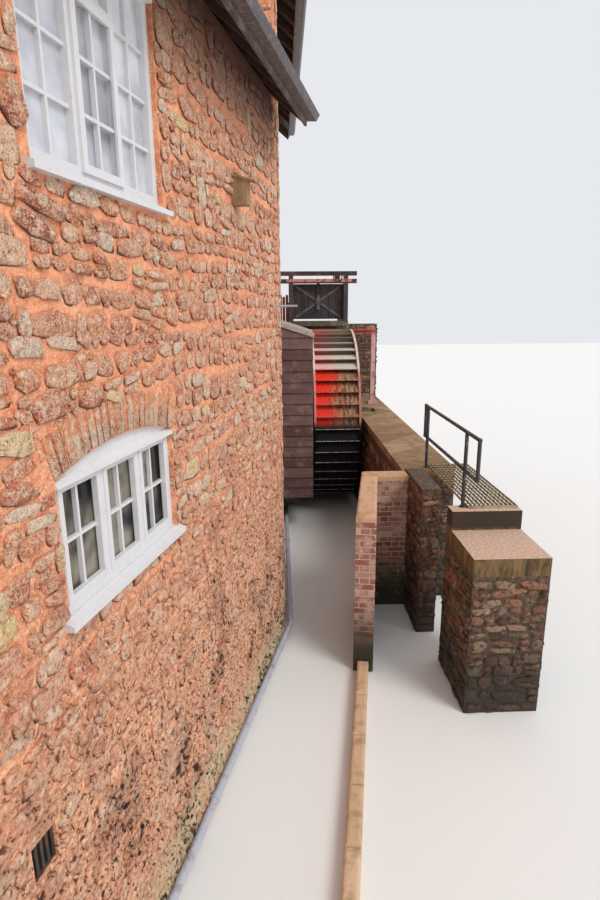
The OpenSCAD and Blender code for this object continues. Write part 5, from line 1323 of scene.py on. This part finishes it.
brace_run, brace_rise = GATE_FACE - BRACE_W, gate_top - gate_foot - BRACE_W
brace_turn = math.atan2(brace_rise, brace_run)
brace_len = math.hypot(brace_run, brace_rise)
ironwork, bolts = [], []
for side in (-1, 1):
    lie = gate_face @ Matrix.Translation((0, gate_middle, BRACE_T + 0.002 + 0.001 * side))
    lie = lie @ Matrix.Rotation(side * brace_turn, 4, "Z")
    ironwork.append((plain_block, placed(lie, (0, 0, 0), (brace_len, 0.05, 0.004))))
    bolts += [(dome, placed(lie, (x, 0, 0.002), BRACE_BOLT))
              for x in spread(brace_len / 2 - 0.05, 5)]
ironwork.append((plain_block, placed(gate_face, (0, gate_middle - 0.02, STEM_D + 0.002), (0.07, 0.3, 0.005))))
joined("gate_straps", ironwork, strap_finish, "gate")
joined("gate_bolts", bolts, strap_finish, "gate", smooth=True)

rail_face = face(Vector(((sluice_low.x + sluice_high.x) / 2, sluice_low.y, 0)), -MILL_ALONG)
rail_len = sluice_high.x - sluice_low.x
low_rail = sluice_high.z - 1.5 * RAIL_H - RAIL_GAP
top_rail = sluice_high.z - RAIL_H / 2
rail_cover = placed(rail_face, (0.03, low_rail + 0.012, 0.004), (rail_len - 0.28, 0.06, 0.009))
joined("rail_board", [(plain_block, rail_cover)], rail_board_finish)
joined("sluice_bolts", [(dome, placed(rail_face, (x, z, 0.003), RAIL_BOLT))
                        for z in (low_rail, top_rail) for x in spread(rail_len / 2 - 0.2, 8)],
       winch_finish, smooth=True)

# %% [markdown]
# Floor, world and lights. The floor is pale and plain. The world gives soft light from all round, and
# one large soft lamp from the front right gives the stones their relief.

# %% Stage
FLOOR_SIZE = 120.0
floor_shape = bmesh.new()
bmesh.ops.create_grid(floor_shape, x_segments=1, y_segments=1, size=FLOOR_SIZE / 2)
floor_mesh = bpy.data.meshes.new("floor")
floor_shape.to_mesh(floor_mesh)
floor_shape.free()
floor = bpy.data.objects.new("floor", floor_mesh)
bpy.context.scene.collection.objects.link(floor)
floor.location.z = -0.002
floor_finish = Finish("floor", roughness=0.9)
floor_mesh.materials.append(floor_finish.paint(tint(232, 230, 226)))

world = bpy.data.worlds.new("soft_world")
bpy.context.scene.world = world
world.use_nodes = True
glow = world.node_tree.nodes["Background"]
glow.inputs["Color"].default_value = (0.94, 0.96, 1.0, 1.0)
glow.inputs["Strength"].default_value = 0.85

sun_data = bpy.data.lights.new("soft_sun", "SUN")
sun_data.energy = 1.6
sun_data.angle = math.radians(25)
sun = bpy.data.objects.new("soft_sun", sun_data)
bpy.context.scene.collection.objects.link(sun)
sun.rotation_euler = (math.radians(38), math.radians(22), math.radians(20))
print("stage ready")
